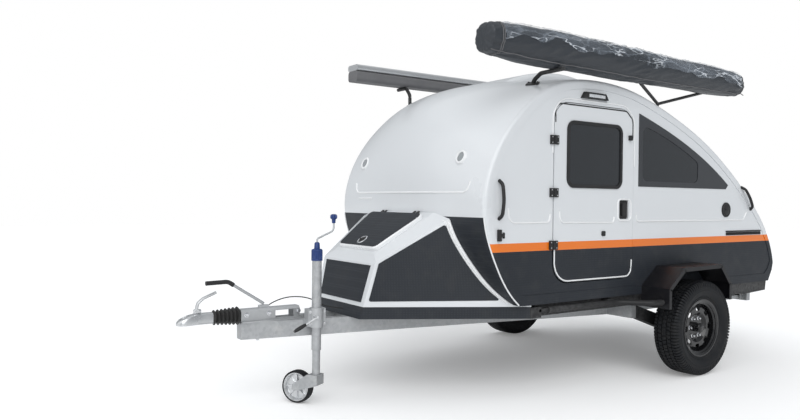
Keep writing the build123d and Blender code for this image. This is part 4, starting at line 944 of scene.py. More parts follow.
AHEAD = 2  # x from which rays are sent back at the front
SEAM_LIMIT = 0.838  # half width that the seam doesn't pass
SEAM_FOOT, SEAM_TOP = 0.616, 1.128
EDGE_FOOT, EDGE_TOP, EDGE_Y = 0.606, 1.150, 0.846  # the shell's front edge


def smoothed(values, rounds=12):
    """Run of numbers with its jumps evened out and its ends kept."""
    for _ in range(rounds):
        inner = [(values[i - 1] + 2 * values[i] + values[i + 1]) / 4 for i in range(1, len(values) - 1)]
        values = [values[0], *inner, values[-1]]
    return values


def front_skin(y, height, node="body_shell"):
    """Place and normal on the front of a node, from a half width and a height."""
    return touch((AHEAD, y, height), (-1, 0, 0), node)


def skin_x(y, height):
    """x of the body's front skin at a half width and height."""
    met = front_skin(y, height)
    return met[0].x if met else None


def nose_seam(height, half_width=0.6):
    """x and half width at which the nose box meets the body's front skin, at a height."""
    x = skin_x(half_width, height)
    for _ in range(12):
        side = touch((x + 0.006, OUTSIDE_M, height), (0, -1, 0), "nose_box")
        half_width = 0.5 * half_width + 0.5 * min(side[0].y if side else half_width, SEAM_LIMIT)
        x = skin_x(half_width, height) or x
    return x, half_width


FLANGE_PROFILE = (  # ahead of the seam, and off the nose box's side
    (-0.004, 0.004), (0.000, 0.010), (0.004, 0.012), (0.009, 0.009), (0.011, 0.004),
    (0.019, 0.004), (0.021, 0.008), (0.025, 0.009), (0.029, 0.006), (0.030, -0.002),
)
FLANGE_WIDTH = FLANGE_PROFILE[-1][0]
FLANGE_SINK = 0.008  # its underside, inside the nose box
heights = spread(SEAM_FOOT, SEAM_TOP, 40)
seams = [nose_seam(height) for height in heights]
seams = list(zip(smoothed([x for x, _ in seams]), smoothed([y for _, y in seams])))
flange, rings = Shape(), []
for height, (x, half_width) in zip(heights, seams):
    ahead = nose_side(x + FLANGE_WIDTH, height)[0]
    slope = (ahead.y - half_width) / FLANGE_WIDTH
    out = Vector((-slope, 1, 0)).normalized()
    face = [Vector((x + way, half_width + slope * way, height)) for way, _ in FLANGE_PROFILE]
    proud = [spot + out * lift for spot, (_, lift) in zip(face, FLANGE_PROFILE)]
    rings.append(proud + [spot - out * FLANGE_SINK for spot in face[::-1]])
flange.rings(rings)
flange.mirrored().piece("nose_flanges", "white_gelcoat", smooth=60)

# dark panels on the nose box's sides, up to the flanges
PANEL_GAP = 0.002
PANEL_BORDER = 0.016  # white left above the panels
PANEL_FOOT = 0.624
PANEL_HEAD, PANEL_SLOPE = 0.856, 0.66  # height of the top edge's front end, and its rise from there
LEAST_TOP = 0.86  # where no upright side is met


def side_top(x):
    """Greatest height at which the nose box still has an upright side, at an x."""
    for step in range(130):
        height = 1.14 - 0.004 * step
        met = touch((x, OUTSIDE_M, height), (0, -1, 0), "nose_box")
        if met and met[1].y > 0.75:
            return height
    return LEAST_TOP


rear_edge = [(x + FLANGE_WIDTH + PANEL_GAP, z) for z, (x, _) in zip(heights, seams)]
rear_edge = [(x, z) for x, z in rear_edge if PANEL_FOOT + 0.002 < z < side_top(x) - PANEL_BORDER]
foot_x, head_x, corner_x = AXLE + 2.366, AXLE + 2.309, rear_edge[-1][0] + 0.012
top_run = spread(head_x, corner_x, 20)
tops = smoothed([side_top(x) for x in top_run], 3)
top_edge = []
for x, top in zip(top_run, tops):
    top_edge.append((x, min(top - PANEL_BORDER, PANEL_HEAD + (head_x - x) * PANEL_SLOPE)))
side_panel = run(((foot_x, PANEL_FOOT), *top_edge[::2], *rear_edge[::-2]), 0.010, closed=True, steps=3)
panel("nose_side_panels", side_panel, nose_side, 0.003, "dark_cladding", mirror=True)

# bead down the shell's front edges, and the pressed lines across the front skin
edge = spread(EDGE_FOOT, EDGE_TOP, 40)
edge_x = smoothed([skin_x(EDGE_Y, height) or AXLE + 1.6 for height in edge], 4)
edge_bead = Shape()
edge_bead.rod([Vector((x + 0.001, EDGE_Y + 0.003, height)) for x, height in zip(edge_x, edge)], 0.005, 8)
edge_bead.mirrored().piece("front_edge_beads", "white_gelcoat", smooth=60)


def front_line(points, bend):
    """Run of (y, height) points laid on the body's front skin."""
    flat = rounded([Vector((y / 1000, height / 1000, 0)) for y, height in points], bend)
    met = [front_skin(spot.x, spot.y) for spot in spaced(flat, 0.02)]
    return [place for place, _ in filter(None, met)]


for name, points, radius in (
    ("front_pressed_line", ((-662, 1372), (-640, 1303), (694, 1303), (716, 1372)), 0.0055),
    ("front_lower_line", ((-600, 1262), (-400, 1262)), 0.004),
):
    line = Shape()
    line.rod(front_line(points, 0.05), radius, 8, up=(1, 0, 0), wide=1.4)
    line.piece(name, "white_gelcoat", smooth=60)


# ---- body sides: beads, seals and trims ----
SIDES, DOOR = ("left_side_panel", "body_shell"), ("left_door",)
DOOR_OR_SIDE = ("left_door", "left_side_panel")
DOORS = ("left_entry_door", "right_entry_door")
MOULDING = 0.0068  # radius of the moulding half way up, which runs in three lengths

front_run = run([(1706, 1210), (1694, 1118), (1354, 1118), (1346, 1170)], 66)
side_bead("front_moulding", front_run, SIDES, MOULDING, "white_gelcoat")
door_run = run([(1268, 1190), (1262, 1117), (744, 1112), (738, 1150)], 60)
side_bead("door_moulding", door_run, DOOR, MOULDING, "white_gelcoat", DOORS)
rear_run = run([(500, 1165), (492, 1118), (-860, 1118), (-905, 1180)], 56)
side_bead("rear_moulding", rear_run, SIDES, MOULDING, "white_gelcoat")

# rounded beads round the door's opening, its lower edge and its head
surround = run([(1330, 1560), (1330, 1922), (527, 1922), (527, 1500)], 150, steps=10)
side_bead("door_surround", surround, SIDES, 0.006, "white_gelcoat")
door_edge = run([(1310, 1010), (1310, 735), (550, 735), (550, 850)], 128, steps=10)
side_bead("door_trim", door_edge, DOOR_OR_SIDE, 0.0055, "white_gelcoat", DOORS)
door_head = run([(1310, 1760), (1310, 1884), (550, 1884), (550, 1700)], 128, steps=10)
side_bead("door_head_seal", door_head, DOOR_OR_SIDE, 0.0045, "black_moulding", DOORS)


# ---- tyres and wheel hardware ----
HUB_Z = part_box("left_tyre")[1][2] / 2
HUB_Y = sum(corner[1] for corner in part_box("left_tyre")) / 2
SIDEWALL = (
    (0.067, 0.2085), (0.074, 0.2105), (0.077, 0.219), (0.083, 0.224), (0.080, 0.229), (0.090, 0.245),
    (0.0965, 0.262), (0.0985, 0.274), (0.0965, 0.277), (0.0965, 0.280), (0.0985, 0.283), (0.0975, 0.298),
    (0.094, 0.312), (0.088, 0.322), (0.078, 0.3295), (0.060, 0.3325), (0.030, 0.3335),
)
LINER = ((0.058, 0.2085), (0.062, 0.235), (0.030, 0.245))
SHOULDER = (  # foot and top of a shoulder lug, each across and radius
    ((0.058, 0.331), (0.058, 0.3435)),
    ((0.078, 0.328), (0.080, 0.3415)),
    ((0.088, 0.320), (0.0915, 0.3335)),
    ((0.093, 0.308), (0.0985, 0.3190)),
    ((0.0965, 0.293), (0.0990, 0.2965)),
)
RIBS = ((-0.052, -0.022, 0.5), (-0.016, 0.016, -0.5), (0.022, 0.052, 0.5))  # edges across, and slant
RIB_LEVELS = ((0.331, 0), (0.3425, 0.0006), (0.3440, 0.0016))  # radius and inset of a block's levels
TYRE_STEPS, SHOULDER_LUGS, RIB_BLOCKS = 120, 92, 72
LUG_SHARE, BLOCK_SHARES = 0.74, (0.78, 0.86)  # of the pitch; blocks come in two lengths
LUG_DRAFT = 0.003  # angle by which a lug's top is shorter at each end
NUT_CIRCLE, VALVE_CIRCLE, VALVE_ANGLE = 0.070, 0.172, 2.2
OUTBOARD = 0.2  # clear of the wheel's outer face


def at_tyre(across, radius, angle):
    """Place on the left wheel from distance outboard, radius and angle."""
    return Vector((AXLE + radius * math.sin(angle), HUB_Y + across, HUB_Z + radius * math.cos(angle)))


def shoulder_lug(shape, side, start):
    """Lug over one shoulder, which follows the tyre's side down from its tread."""
    end = start + math.tau / SHOULDER_LUGS * LUG_SHARE
    sections = []
    for foot, top in SHOULDER:
        corners = ((foot, start), (foot, end), (top, end - LUG_DRAFT), (top, start + LUG_DRAFT))
        sections.append([at_tyre(side * across, radius, angle) for (across, radius), angle in corners])
    shape.rings(sections)


def tread_block(shape, rib, start, length):
    """Slanted block of one rib, with drawn-in sides."""
    near, far, slant = rib
    levels = []
    for radius, inset in RIB_LEVELS:
        corners = ((near + inset, 0), (far - inset, 0), (far - inset, length), (near + inset, length))
        levels.append([at_tyre(across, radius, start + turn + slant * across) for across, turn in corners])
    shape.rings(levels)


def tyre_tread():
    """Hollow tyre with its beads, ribbed sides, shoulder lugs and tread blocks."""
    shape = Shape()
    crown = [*SIDEWALL, (0.0, 0.334), *[(-across, radius) for across, radius in reversed(SIDEWALL)]]
    liner = [(-across, radius) for across, radius in LINER] + [*reversed(LINER)]
    sections = [[at_tyre(*point, angle) for point in crown + liner] for angle in turns(TYRE_STEPS)]
    shape.rings(sections, closed=True)
    for outer, inner in zip(turns(SHOULDER_LUGS), turns(SHOULDER_LUGS, 0.5)):
        shoulder_lug(shape, 1, outer)
        shoulder_lug(shape, -1, inner)
    for row, rib in enumerate(RIBS):
        for k, start in enumerate(turns(RIB_BLOCKS, row / 3)):
            tread_block(shape, rib, start, math.tau / RIB_BLOCKS * BLOCK_SHARES[k % 2])
    return shape


def on_wheel(radius, angle):
    """Place on the left wheel's outer face."""
    return touch(at_tyre(OUTBOARD, radius, angle), (0, -1, 0), "left_wheel")[0]


def wheel_nuts():
    """Six flanged nuts on their circle."""
    shape = Shape()
    for angle in turns(6, 0.5):
        face = on_wheel(NUT_CIRCLE, angle)
        shape.turned([(0, 0.0155), (0.003, 0.0155), (0.005, 0.012)], face, (0, 1, 0), 24)
        shape.turned([(0.004, 0.0105), (0.018, 0.0105), (0.022, 0.008), (0.024, 0.0035)], face, (0, 1, 0), 6)
    return shape


def hub_cap():
    """Stepped dome over the hub."""
    shape = Shape()
    dome = [(-0.004, 0.0335), (0.004, 0.0335), (0.006, 0.031), (0.008, 0.031), (0.011, 0.027)]
    shape.turned([*dome, (0.014, 0.016), (0.015, 0.004)], on_wheel(0.001, 0), (0, 1, 0), 40)
    return shape


def tyre_valve():
    """Valve stem with its cap."""
    shape = Shape()
    stem = [(-0.003, 0.005), (0.010, 0.004), (0.024, 0.0035), (0.025, 0.0045), (0.034, 0.004)]
    shape.turned(stem, on_wheel(VALVE_CIRCLE, VALVE_ANGLE), (0, 1, 0), 12)
    return shape


WHEEL_PIECES = {tyre_tread: "tyre_rubber", wheel_nuts: "bright_chrome", hub_cap: "gloss_black",
                tyre_valve: "black_moulding"}
for side, label in BOTH_SIDES:
    for make, finish in WHEEL_PIECES.items():
        shape = make() if side > 0 else make().flipped()
        made = shape.piece(f"{label}_{make.__name__}", finish, f"{label}_running_wheel", smooth=28)
        if make is tyre_tread:
            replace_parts(made, f"{label}_tyre")


# ---- awning bag ----
BAG_VOXEL, BAG_SHRINK, BAG_SWELL = 0.011, 0.006, 0.008
TAIL_TUCK, FRONT_TUCK = 0.105, 0.030  # the cover is this much shorter at its ends
GIRTH = ((-760, 0.80), (-640, 0.92), (-300, 1.0), (1300, 1.02), (1650, 0.98), (1840, 0.88), (1985, 0.78))
ROUNDING, BAG_MEAN = 0.4, 0.112  # how far the section goes towards a circle, and that circle's radius
BAG_Y, BAG_Z = 0.9, 2.2  # middle of the bag, its height where a ray meets nothing
UNDER_BAG, OVER_BAG = 1.9, 2.6  # heights clear of it
BAG_LOW, BAG_HIGH = (corner[0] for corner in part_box("awning_bag"))
BAG_STATIONS = 40
END_SEAM, TAIL_SEAM, MIDDLE_SEAM, BRACKET = AXLE + 1.880, AXLE - 0.62, AXLE + 0.60, AXLE + 1.378
SEAM_HOLD = 0.008  # half the width of the cloth that a seam holds
PRESSURE, CLOTH_FRAMES = 4, 20


def evaluated(thing):
    """Finished mesh of an object, which then loses its modifiers."""
    graph = bpy.context.evaluated_depsgraph_get()
    mesh = bpy.data.meshes.new_from_object(thing.evaluated_get(graph))
    thing.modifiers.clear()
    thing.data = mesh
    return mesh


def along(stops, value):
    """Smooth reading of (place, size) stops at a value."""
    for (first, low), (second, high) in zip(stops, stops[1:]):
        if value <= second:
            share = max(0.0, (value - first) / (second - first))
            return low + (high - low) * share * share * (3 - 2 * share)
    return stops[-1][1]


def bag_middle(x):
    """Middle of the bag's section at an x, from its CAD solid."""
    up = touch((x, BAG_Y, UNDER_BAG), (0, 0, 1), "awning_bag")
    down = touch((x, BAG_Y, OVER_BAG), (0, 0, -1), "awning_bag")
    return (up[0].z + down[0].z) / 2 if up and down else BAG_Z


def bag_share(x):
    """How far along the bag an x is, from 0 at its tail to 1 at its front."""
    return (x - BAG_LOW) / (BAG_HIGH - BAG_LOW)


BAG_MIDDLES = [bag_middle(x) for x in spread(BAG_LOW, BAG_HIGH, BAG_STATIONS)[1:-1]]


def near_middle(x):
    """Middle of the section at the nearest station of the bag behind an x."""
    return BAG_MIDDLES[min(len(BAG_MIDDLES) - 1, max(0, int(bag_share(x) * BAG_STATIONS) - 1))]


def bag_object():
    """Cover on an even grid, drawn in from the CAD solid and rounded to the bag's girth."""
    bag = bpy.data.objects.new("awning_bag_cover", NODES["awning_bag"].data.copy())
    bpy.context.collection.objects.link(bag)
    remesh = bag.modifiers.new("even_grid", "REMESH")
    remesh.mode, remesh.voxel_size = "VOXEL", BAG_VOXEL
    mesh = evaluated(bag)
    normals = [vertex.normal.copy() for vertex in mesh.vertices]
    for vertex, normal in zip(mesh.vertices, normals):
        vertex.co -= normal * BAG_SHRINK
        centre = Vector((vertex.co.x, BAG_Y, near_middle(vertex.co.x)))
        away = vertex.co - centre
        rounder = 1 - ROUNDING * (1 - BAG_MEAN / max(away.length, 0.08))
        vertex.co = centre + away * (along(GIRTH, (vertex.co.x - AXLE) * 1000) * rounder)
    return bag


def swell(bag):
    """Pressure fills the cover between its seams, which are held."""
    start = [vertex.co.copy() for vertex in bag.data.vertices]
    held = []
    for i, spot in enumerate(start):
        if min(abs(spot.x - seam) for seam in (END_SEAM, TAIL_SEAM, MIDDLE_SEAM)) < SEAM_HOLD:
            held.append(i)
    bag.vertex_groups.new(name="seams").add(held, 1, "REPLACE")
    cloth = bag.modifiers.new("filling", "CLOTH")
    cloth.settings.use_pressure = True
    cloth.settings.uniform_pressure_force = PRESSURE
    cloth.settings.effector_weights.gravity = 0
    cloth.settings.vertex_group_mass = "seams"
    for number in range(1, CLOTH_FRAMES + 1):
        bpy.context.scene.frame_set(number)
    mesh = evaluated(bag)
    for vertex, first in zip(mesh.vertices, start):
        moved = vertex.co - first
        if moved.length > BAG_SWELL:
            vertex.co = first + moved * (BAG_SWELL / moved.length)
    bpy.context.scene.frame_set(1)


def ridge(x, y, z, sharpness):
    """Noise folded into ridges, 1 on their crests."""
    return 1 - abs(noise.noise(Vector((x, y, z)))) * sharpness


def crumple(bag):
    """Long slack folds, and sharp creases near the seams and at the front bracket."""
    gathers = (END_SEAM, BRACKET, TAIL_SEAM, MIDDLE_SEAM)
    reach, slack_depth, fold_depth, gather_depth = 0.16, 0.006, 0.003, 0.006
    moves = []
    for vertex in bag.data.vertices:
        spot = vertex.co
        around = math.atan2(spot.z - near_middle(spot.x), spot.y - BAG_Y)
        slack = noise.noise(Vector((spot.x * 2.1, around * 0.9, 0.3)))
        fold = ridge(spot.x * 7.0 + around * 2.4, around * 2.2, 4.7, 2)
        near = max(math.exp(-(((spot.x - gather) / reach) ** 2)) for gather in gathers)
        depth = fold_depth + near * gather_depth
        moves.append(vertex.normal * (slack * slack_depth + (fold - 0.6) * depth))
    for vertex, move in zip(bag.data.vertices, moves):
        vertex.co += move
        share = bag_share(vertex.co.x)
        vertex.co.x += TAIL_TUCK * (1 - share) - FRONT_TUCK * share


def around_bag(tree, x, angle, out):
    """Place off the finished cover by a distance, from x and the angle up from level."""
    middle = Vector((x, BAG_Y, bag_middle(x)))
    away = Vector((0, math.cos(angle), math.sin(angle)))
    place, normal, _, _ = tree.ray_cast(middle + away * 0.4, -away)
    if not place:
        place, normal = middle + away * 0.1, away
    return place + (normal if normal.dot(away) > 0 else -normal) * out


bag = bag_object()
swell(bag)
crumple(bag)
soften = bag.modifiers.new("soften", "SUBSURF")
soften.levels = soften.render_levels = 1
evaluated(bag)
bag.data.materials.clear()
bag.data.materials.append(FINISHES["bag_cover"])
bag.data.shade_smooth()
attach(bag, "caravan")
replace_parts(bag, "awning_bag")
bag_tree = BVHTree.FromPolygons([v.co for v in bag.data.vertices], [f.vertices for f in bag.data.polygons])

# piping round the seams, and the hem along the foot
piping = Shape()
for x in (END_SEAM, END_SEAM - 0.012, TAIL_SEAM):
    ring = [around_bag(bag_tree, x, angle, 0.0015) for angle in turns(64)]
    piping.rod(ring, 0.003, 6, closed=True, up=(1, 0, 0))
hem = [around_bag(bag_tree, AXLE - 0.66 + ahead, -0.95, 0.001) for ahead in spread(0, 2.6, 130)]
piping.rod(hem, 0.0035, 6)
piping.piece("bag_piping", "grey_roll", smooth=60)

# clear wrap over the front and top of the bag, creased in two sizes
FILM_LENGTH, FILM_ROWS, FILM_COLUMNS, FILM_TOP = 2.46, 22, 150, 2.2
film, grid = Shape(), []
for column in range(FILM_COLUMNS + 1):
    x = END_SEAM - 0.015 - FILM_LENGTH * column / FILM_COLUMNS
    slow, quick = noise.noise(Vector((x * 2.0, 0, 1.7))), noise.noise(Vector((x * 6.5, 0, 6.1)))
    line = []
    for angle in spread(0.05 + 0.55 * slow + 0.34 * quick, FILM_TOP, FILM_ROWS):
        crease = ridge(x * 4.5 + angle * 2.6, angle * 2.4, 9.0, 2.2)
        fine = ridge(x * 13 - angle * 4.0, angle * 4.6, 2.0, 2.2)
        lift = 0.002 + max(0.0, crease) ** 2 * 0.009 + max(0.0, fine) ** 3 * 0.004
        line.append(film.mesh.verts.new(around_bag(bag_tree, x, angle, lift)))
    grid.append(line)
for first, second in zip(grid, grid[1:]):
    for i in range(FILM_ROWS):
        film.mesh.faces.new((first[i], first[i + 1], second[i + 1], second[i]))
film_piece = film.piece("bag_film", "clear_film", smooth=24)


# ---- small hardware ----
HINGE_HEIGHTS, SCREW_SPACING = (972, 1308, 1646), 36
SIDE_FACE = 854  # half width of the side panels' outer face


def on_node(station, height, node, side=1):
    """Place on the outside of a node, from a station and height."""
    met = touch(at(station, OUTSIDE * side, height), (0, -side, 0), node)
    return met[0] if met else None


def hinge_screws(station, nodes, name, bodies):
    """Two domed screws in each of the door's three hinges, on both sides."""
    dome = [(-0.001, 0.0042), (0.0012, 0.0042), (0.0022, 0.0028)]
    for (side, label), node, body in zip(BOTH_SIDES, nodes, bodies):
        screws = Shape()
        for hinge in HINGE_HEIGHTS:
            for height in (hinge - SCREW_SPACING / 2, hinge + SCREW_SPACING / 2):
                face = on_node(station, height, node, side)
                if face:
                    screws.turned(dome, face, (0, side, 0), 14)
        screws.piece(f"{label}_{name}", "zinc_casting", body)


hinge_screws(1297, ("left_door_hardware", "right_door_hardware"), "hinge_leaf_screws", DOORS)
hinge_screws(1345, ("door_hinges", "door_hinges"), "hinge_post_screws", ("caravan", "caravan"))

handle_run = run([(701, 1124), (701, 1272), (560, 1272), (560, 1124)], 34, True)
side_bead("handle_surround", handle_run, DOOR, 0.0065, "white_gelcoat", DOORS, closed=True)


def fittings(side):
    """Awning light, T-shaped step catch, filler cap and louvred vent on one side."""
    light, catch, cap, vent = 952, 1780, -611, -866  # stations
    shape, lens = Shape(), Shape()
    face_y = SIDE_FACE * side

    def spot(station, height, out=0.0):
        """Place on this side's face, or off it by a distance."""
        return at(station, face_y, height) + Vector((0, side * out, 0))

    # light: wider at its foot, with the ribbed lens let into its face
    outline = ((-0.128, -0.021), (0.128, -0.021), (0.100, 0.021), (-0.100, 0.021))
    levels = []
    for out, size in ((0.0, 1.0), (0.026, 0.96), (0.032, 0.84)):
        levels.append([spot(light, 1957, out) + Vector((a * size, 0, b * size)) for a, b in outline])
    shape.rings(levels)
    lens.block(spot(light, 1954, 0.0325), (0.156, 0.004, 0.021), bevel=0.0015)
    for k in range(-3, 4):
        lens.block(spot(light + 21 * k, 1954, 0.0345), (0.014, 0.003, 0.013), bevel=0.001)
    # catch: upright bar with a T-shaped pull
    shape.block(spot(catch, 1043, 0.011), (0.024, 0.022, 0.071), bevel=0.004)
    shape.block(spot(catch - 16, 1043, 0.017), (0.030, 0.012, 0.020), bevel=0.003)
    shape.block(spot(catch - 28, 1043, 0.017), (0.011, 0.014, 0.036), bevel=0.003)
    # filler cap with its ring and finger bar
    middle = spot(cap, 1200)
    rings = [(-0.001, 0.059), (0.007, 0.058), (0.010, 0.053), (0.007, 0.047), (0.006, 0.044), (0.009, 0.041)]
    shape.turned([*rings, (0.012, 0.034), (0.012, 0.006)], middle, (0, side, 0), 48)
    shape.block(middle + Vector((0, side * 0.014, 0)), (0.050, 0.008, 0.013), bevel=0.003)
    # vent: three louvres under a slim bar
    slope = Matrix.Rotation(side * 0.5, 3, "X")
    shape.block(spot(vent, 1028, 0.004), (0.506, 0.010, 0.010), bevel=0.002)
    for k in range(3):
        shape.block(spot(vent, 1016 - 8 * k, 0.004), (0.500, 0.006, 0.007), slope, 0.001)
    return shape, lens


for side, label in BOTH_SIDES:
    shape, lens = fittings(side)
    made = shape.piece(f"{label}_fittings", "black_moulding")
    lens.piece(f"{label}_awning_light_lens", "silver_lens")
    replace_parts(made, "side_fittings")

# folded fenders with a narrow lip
FENDER = ((428, 515), (428, 657), (256, 795), (-202, 801), (-326, 657), (-326, 533))
FENDER_IN, FENDER_OUT, SHEET, LIP = 0.853, 1.0935, 0.005, 0.028
arch = rounded([at(station, 0, height) for station, height in FENDER], 0.006, steps=2)
lipped = ((0, FENDER_IN), (0, FENDER_OUT), (LIP, FENDER_OUT), (LIP, FENDER_OUT - SHEET),
          (SHEET, FENDER_OUT - SHEET), (SHEET, FENDER_IN))
fender = Shape()
fender.folded(arch, lipped)
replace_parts(fender.mirrored().piece("fender_sheets", "gloss_moulding", smooth=24), "fenders")

# step tubes swept out to the fenders, their hangers, and the valances behind the wheels
STEP_TUBE, HANGER_TOP = 0.020, 584
steps = Shape()
tube = [at(1352, 850, 560), at(700, 854, 560), at(520, 1036, 560), at(428, 1036, 560)]
steps.rod(rounded(tube, 0.16, steps=8), STEP_TUBE, 16)
for station, length, foot in ((1460, 90, 515), (760, 60, 548)):
    size = (length / 1000, 0.058, (HANGER_TOP - foot) / 1000)
    steps.block(at(station, 829, (foot + HANGER_TOP) / 2), size, bevel=0.003)
steps.block(at(1391, 844, 560), (0.094, 0.028, 0.024), bevel=0.003)
valance = ((-332, 603), (-332, 566), (-895, 508), (-1224, 524), (-1236, 603))
steps.rings([[at(station, y, height) for station, height in valance] for y in (836, 846)])
steps.rod([at(-334, 843, 570), at(-895, 843, 512), at(-1220, 843, 528)], 0.007, 8, up=(0, 1, 0))
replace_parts(steps.mirrored().piece("steps_and_valances", "black_paint"), "side_steps")

# arms under the bag and the rolled awning: bent tubes, and a fork under the bag's rear
ARM, SMALL_ARM, ARM_BEND = 0.014, 0.0115, 0.05
FRONT_ARM, RIGHT_REAR_ARM, FORK = 1378, 180, 150  # stations
left_line = ((712, 1966), (716, 2030), (786, 2073), (990, 2075))  # y and height
arms = Shape()
arms.rod(rounded([at(FRONT_ARM, *place) for place in left_line], ARM_BEND), ARM, 14)
fork = at(FORK, 762, 1986)
for end in (at(FORK, 742, 1916), at(486, 868, 2092), at(-250, 874, 2096)):
    arms.rod([fork, fork.lerp(end, 0.5), end], SMALL_ARM, 12)
for station, foot, knee in ((FRONT_ARM, 1966, 2098), (RIGHT_REAR_ARM, 1896, 2053)):
    right_line = ((-712, foot), (-716, knee), (-770, 2158), (-890, 2158))
    arms.rod(rounded([at(station, *place) for place in right_line], ARM_BEND), ARM, 14)
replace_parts(arms.piece("awning_arms", "black_paint"), "awning_brackets")


# ---- coupling and jockey wheel ----
HEAD = (  # station, half width and top of the coupling head's sections
    (3226, 30, 588), (3290, 30, 588), (3320, 34, 587), (3352, 40, 580),
    (3382, 43, 570), (3404, 38, 560), (3419, 26, 551), (3427, 10, 544),
)
HEAD_FOOT, BALL_STATION = 527, 3382


def coupling_head():
    """Forged head that slopes down to its nose, with the ball's socket in its foot."""
    shape = Shape()
    rings = []
    for station, half, top in HEAD:
        edge = min(12, half * 0.6)
        lean = edge * 0.3
        corner = ((half - edge, top), (half - lean, top - lean), (half, top - edge), (half, HEAD_FOOT))
        section = [(-y, height) for y, height in reversed(corner)] + [*corner]
        rings.append([at(station, y, height) for y, height in section])
    shape.rings(rings)
    # flanged foot, and the safety catch on top
    shape.block(at(3290, 0, 530), (0.128, 0.070, 0.006), bevel=0.002)
    shape.block(at(3352, 0, 583), (0.040, 0.020, 0.012), bevel=0.004)
    head = shape.piece("coupling_casting", "polished_zinc", smooth=40)
    ball = Shape()
    socket = [(-0.03, 0.0255), (0.022, 0.0255), (0.038, 0.019), (0.046, 0.008)]
    ball.turned(socket, at(BALL_STATION, 0, HEAD_FOOT), (0, 0, 1), 32)
    cutter = ball.piece("ball_socket", "polished_zinc")
    hollow = head.modifiers.new("socket", "BOOLEAN")
    hollow.object = cutter
    evaluated(head)
    bpy.data.objects.remove(cutter)
    return head


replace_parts(coupling_head(), "coupling_head")

# lever over the head, on its pin
handle = Shape()
handle.block(at(3310, 0, 600), (0.042, 0.024, 0.024), bevel=0.005)
lever_line = rounded([at(3316, 0, 606), at(3308, 0, 646), at(3276, 0, 672), at(3202, 0, 702)], 0.03)
handle.rod(lever_line, 0.008, 14, wide=1.9, up=(1, 0, 0.4))
handle.turned([(-0.016, 0.007), (0.016, 0.007)], at(3310, 0, 606), (0, 1, 0), 16)
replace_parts(handle.piece("coupling_lever", "polished_zinc"), "coupling_handle")

# jockey wheel: lipped tyre, and a rim with its web, hub and eight ribs
HEADING = math.radians(-58)  # of the castor fork, from straight ahead
ROLL = Vector((math.cos(HEADING), math.sin(HEADING), 0))
SPINDLE = Vector((-math.sin(HEADING), math.cos(HEADING), 0))
POST_STATION, POST_Y, TRAIL = 2644, 176, 0.128
wheel_middle = at(POST_STATION, POST_Y, 100) + ROLL * TRAIL


def even_hoop(shape, half, steps):
    """Ring on the jockey wheel's spindle, from half of its (across, radius) profile."""
    profile = [(-across, radius) for across, radius in half] + [*reversed(half)]
    shape.hoop(profile, wheel_middle, SPINDLE, steps)


tyre = Shape()
tread = ((0.023, 0.086), (0.028, 0.090), (0.029, 0.094), (0.021, 0.0985), (0.006, 0.0995), (0.004, 0.098))
even_hoop(tyre, tread, 64)
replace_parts(tyre.piece("jockey_tyre_ring", "tyre_rubber", "jockey_roller"), "jockey_tyre")
rim = Shape()
even_hoop(rim, ((0.026, 0.0865), (0.027, 0.083), (0.018, 0.076), (0.006, 0.072)), 64)
even_hoop(rim, ((0.0025, 0.026), (0.0025, 0.074)), 64)
even_hoop(rim, ((0.031, 0.0065), (0.031, 0.019), (0.008, 0.027)), 32)
for angle in turns(8):
    away = ROLL * math.cos(angle) + Vector((0, 0, math.sin(angle)))
    turn = Matrix((SPINDLE, away, SPINDLE.cross(away))).transposed()
    rim.block(wheel_middle + away * 0.049, (0.030, 0.050, 0.008), turn, 0.002)
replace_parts(rim.piece("jockey_rim_ribbed", "polished_zinc", "jockey_roller"), "jockey_rim")

# fluted cap on the post, and the crank's six-lobed knob
cap = Shape()
flutes = ((0.878, 0.034, 0), (0.886, 0.034, 0), (0.890, 0.034, 1), (0.934, 0.034, 1), (0.938, 0.034, 0))
crown = ((0.944, 0.033, 0), (0.948, 0.028, 0), (0.949, 0.018, 0), (0.982, 0.016, 0), (0.989, 0.012, 0))
cap.lobed((*flutes, *crown), at(POST_STATION, POST_Y, 0), 14, 0.004)
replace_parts(cap.piece("jockey_cap_fluted", "blue_plastic"), "jockey_cap")
knob = Shape()
stalk = ((1.1045, 0.011, 0), (1.126, 0.012, 0))
star = ((1.134, 0.0235, 1), (1.148, 0.0238, 1), (1.156, 0.020, 1), (1.1595, 0.010, 0))
knob.lobed((*stalk, *star), at(2532, POST_Y, 0), 6, 0.007)
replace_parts(knob.piece("crank_star_knob", "blue_plastic"), "crank_knob")


# ---- marker rings, foot plates, clamp lever and bolts ----
MARKER_Y, MARKER_Z, MARKER_RADIUS = 0.586, 1.5247, 0.034
BEZEL = ((-0.026, -0.002), (0.004, -0.002), (0.007, 0.002), (0.007, 0.007), (0.001, 0.014), (-0.026, 0.016))
bezel = [(along_axis, MARKER_RADIUS + wider) for along_axis, wider in BEZEL]
rings = Shape()
for y in (MARKER_Y, -MARKER_Y):
    met = front_skin(y, MARKER_Z, "lamps")
    if met:
        rings.hoop(bezel, *met)
rings.piece("marker_rings", "white_gelcoat", smooth=50)

# foot plates of the arms, each with two bolts
plates = Shape()
for station, y in ((FRONT_ARM, 712), (FORK, 738), (FRONT_ARM, -712), (RIGHT_REAR_ARM, -712)):
    place, normal = touch(at(station, y, 2600), (0, 0, -1), "body_shell")
    turn = normal.to_track_quat("Z", "Y").to_matrix()
    plates.block(place + normal * 0.003, (0.082, 0.056, 0.008), turn, 0.002)
    for shift in (-0.030, 0.030):
        spot = place + normal * 0.006 + turn @ Vector((shift, 0.016, 0))
        plates.bolt(spot, normal, 0.012, 0.006, washer=False)
plates.piece("bracket_plates", "black_paint")

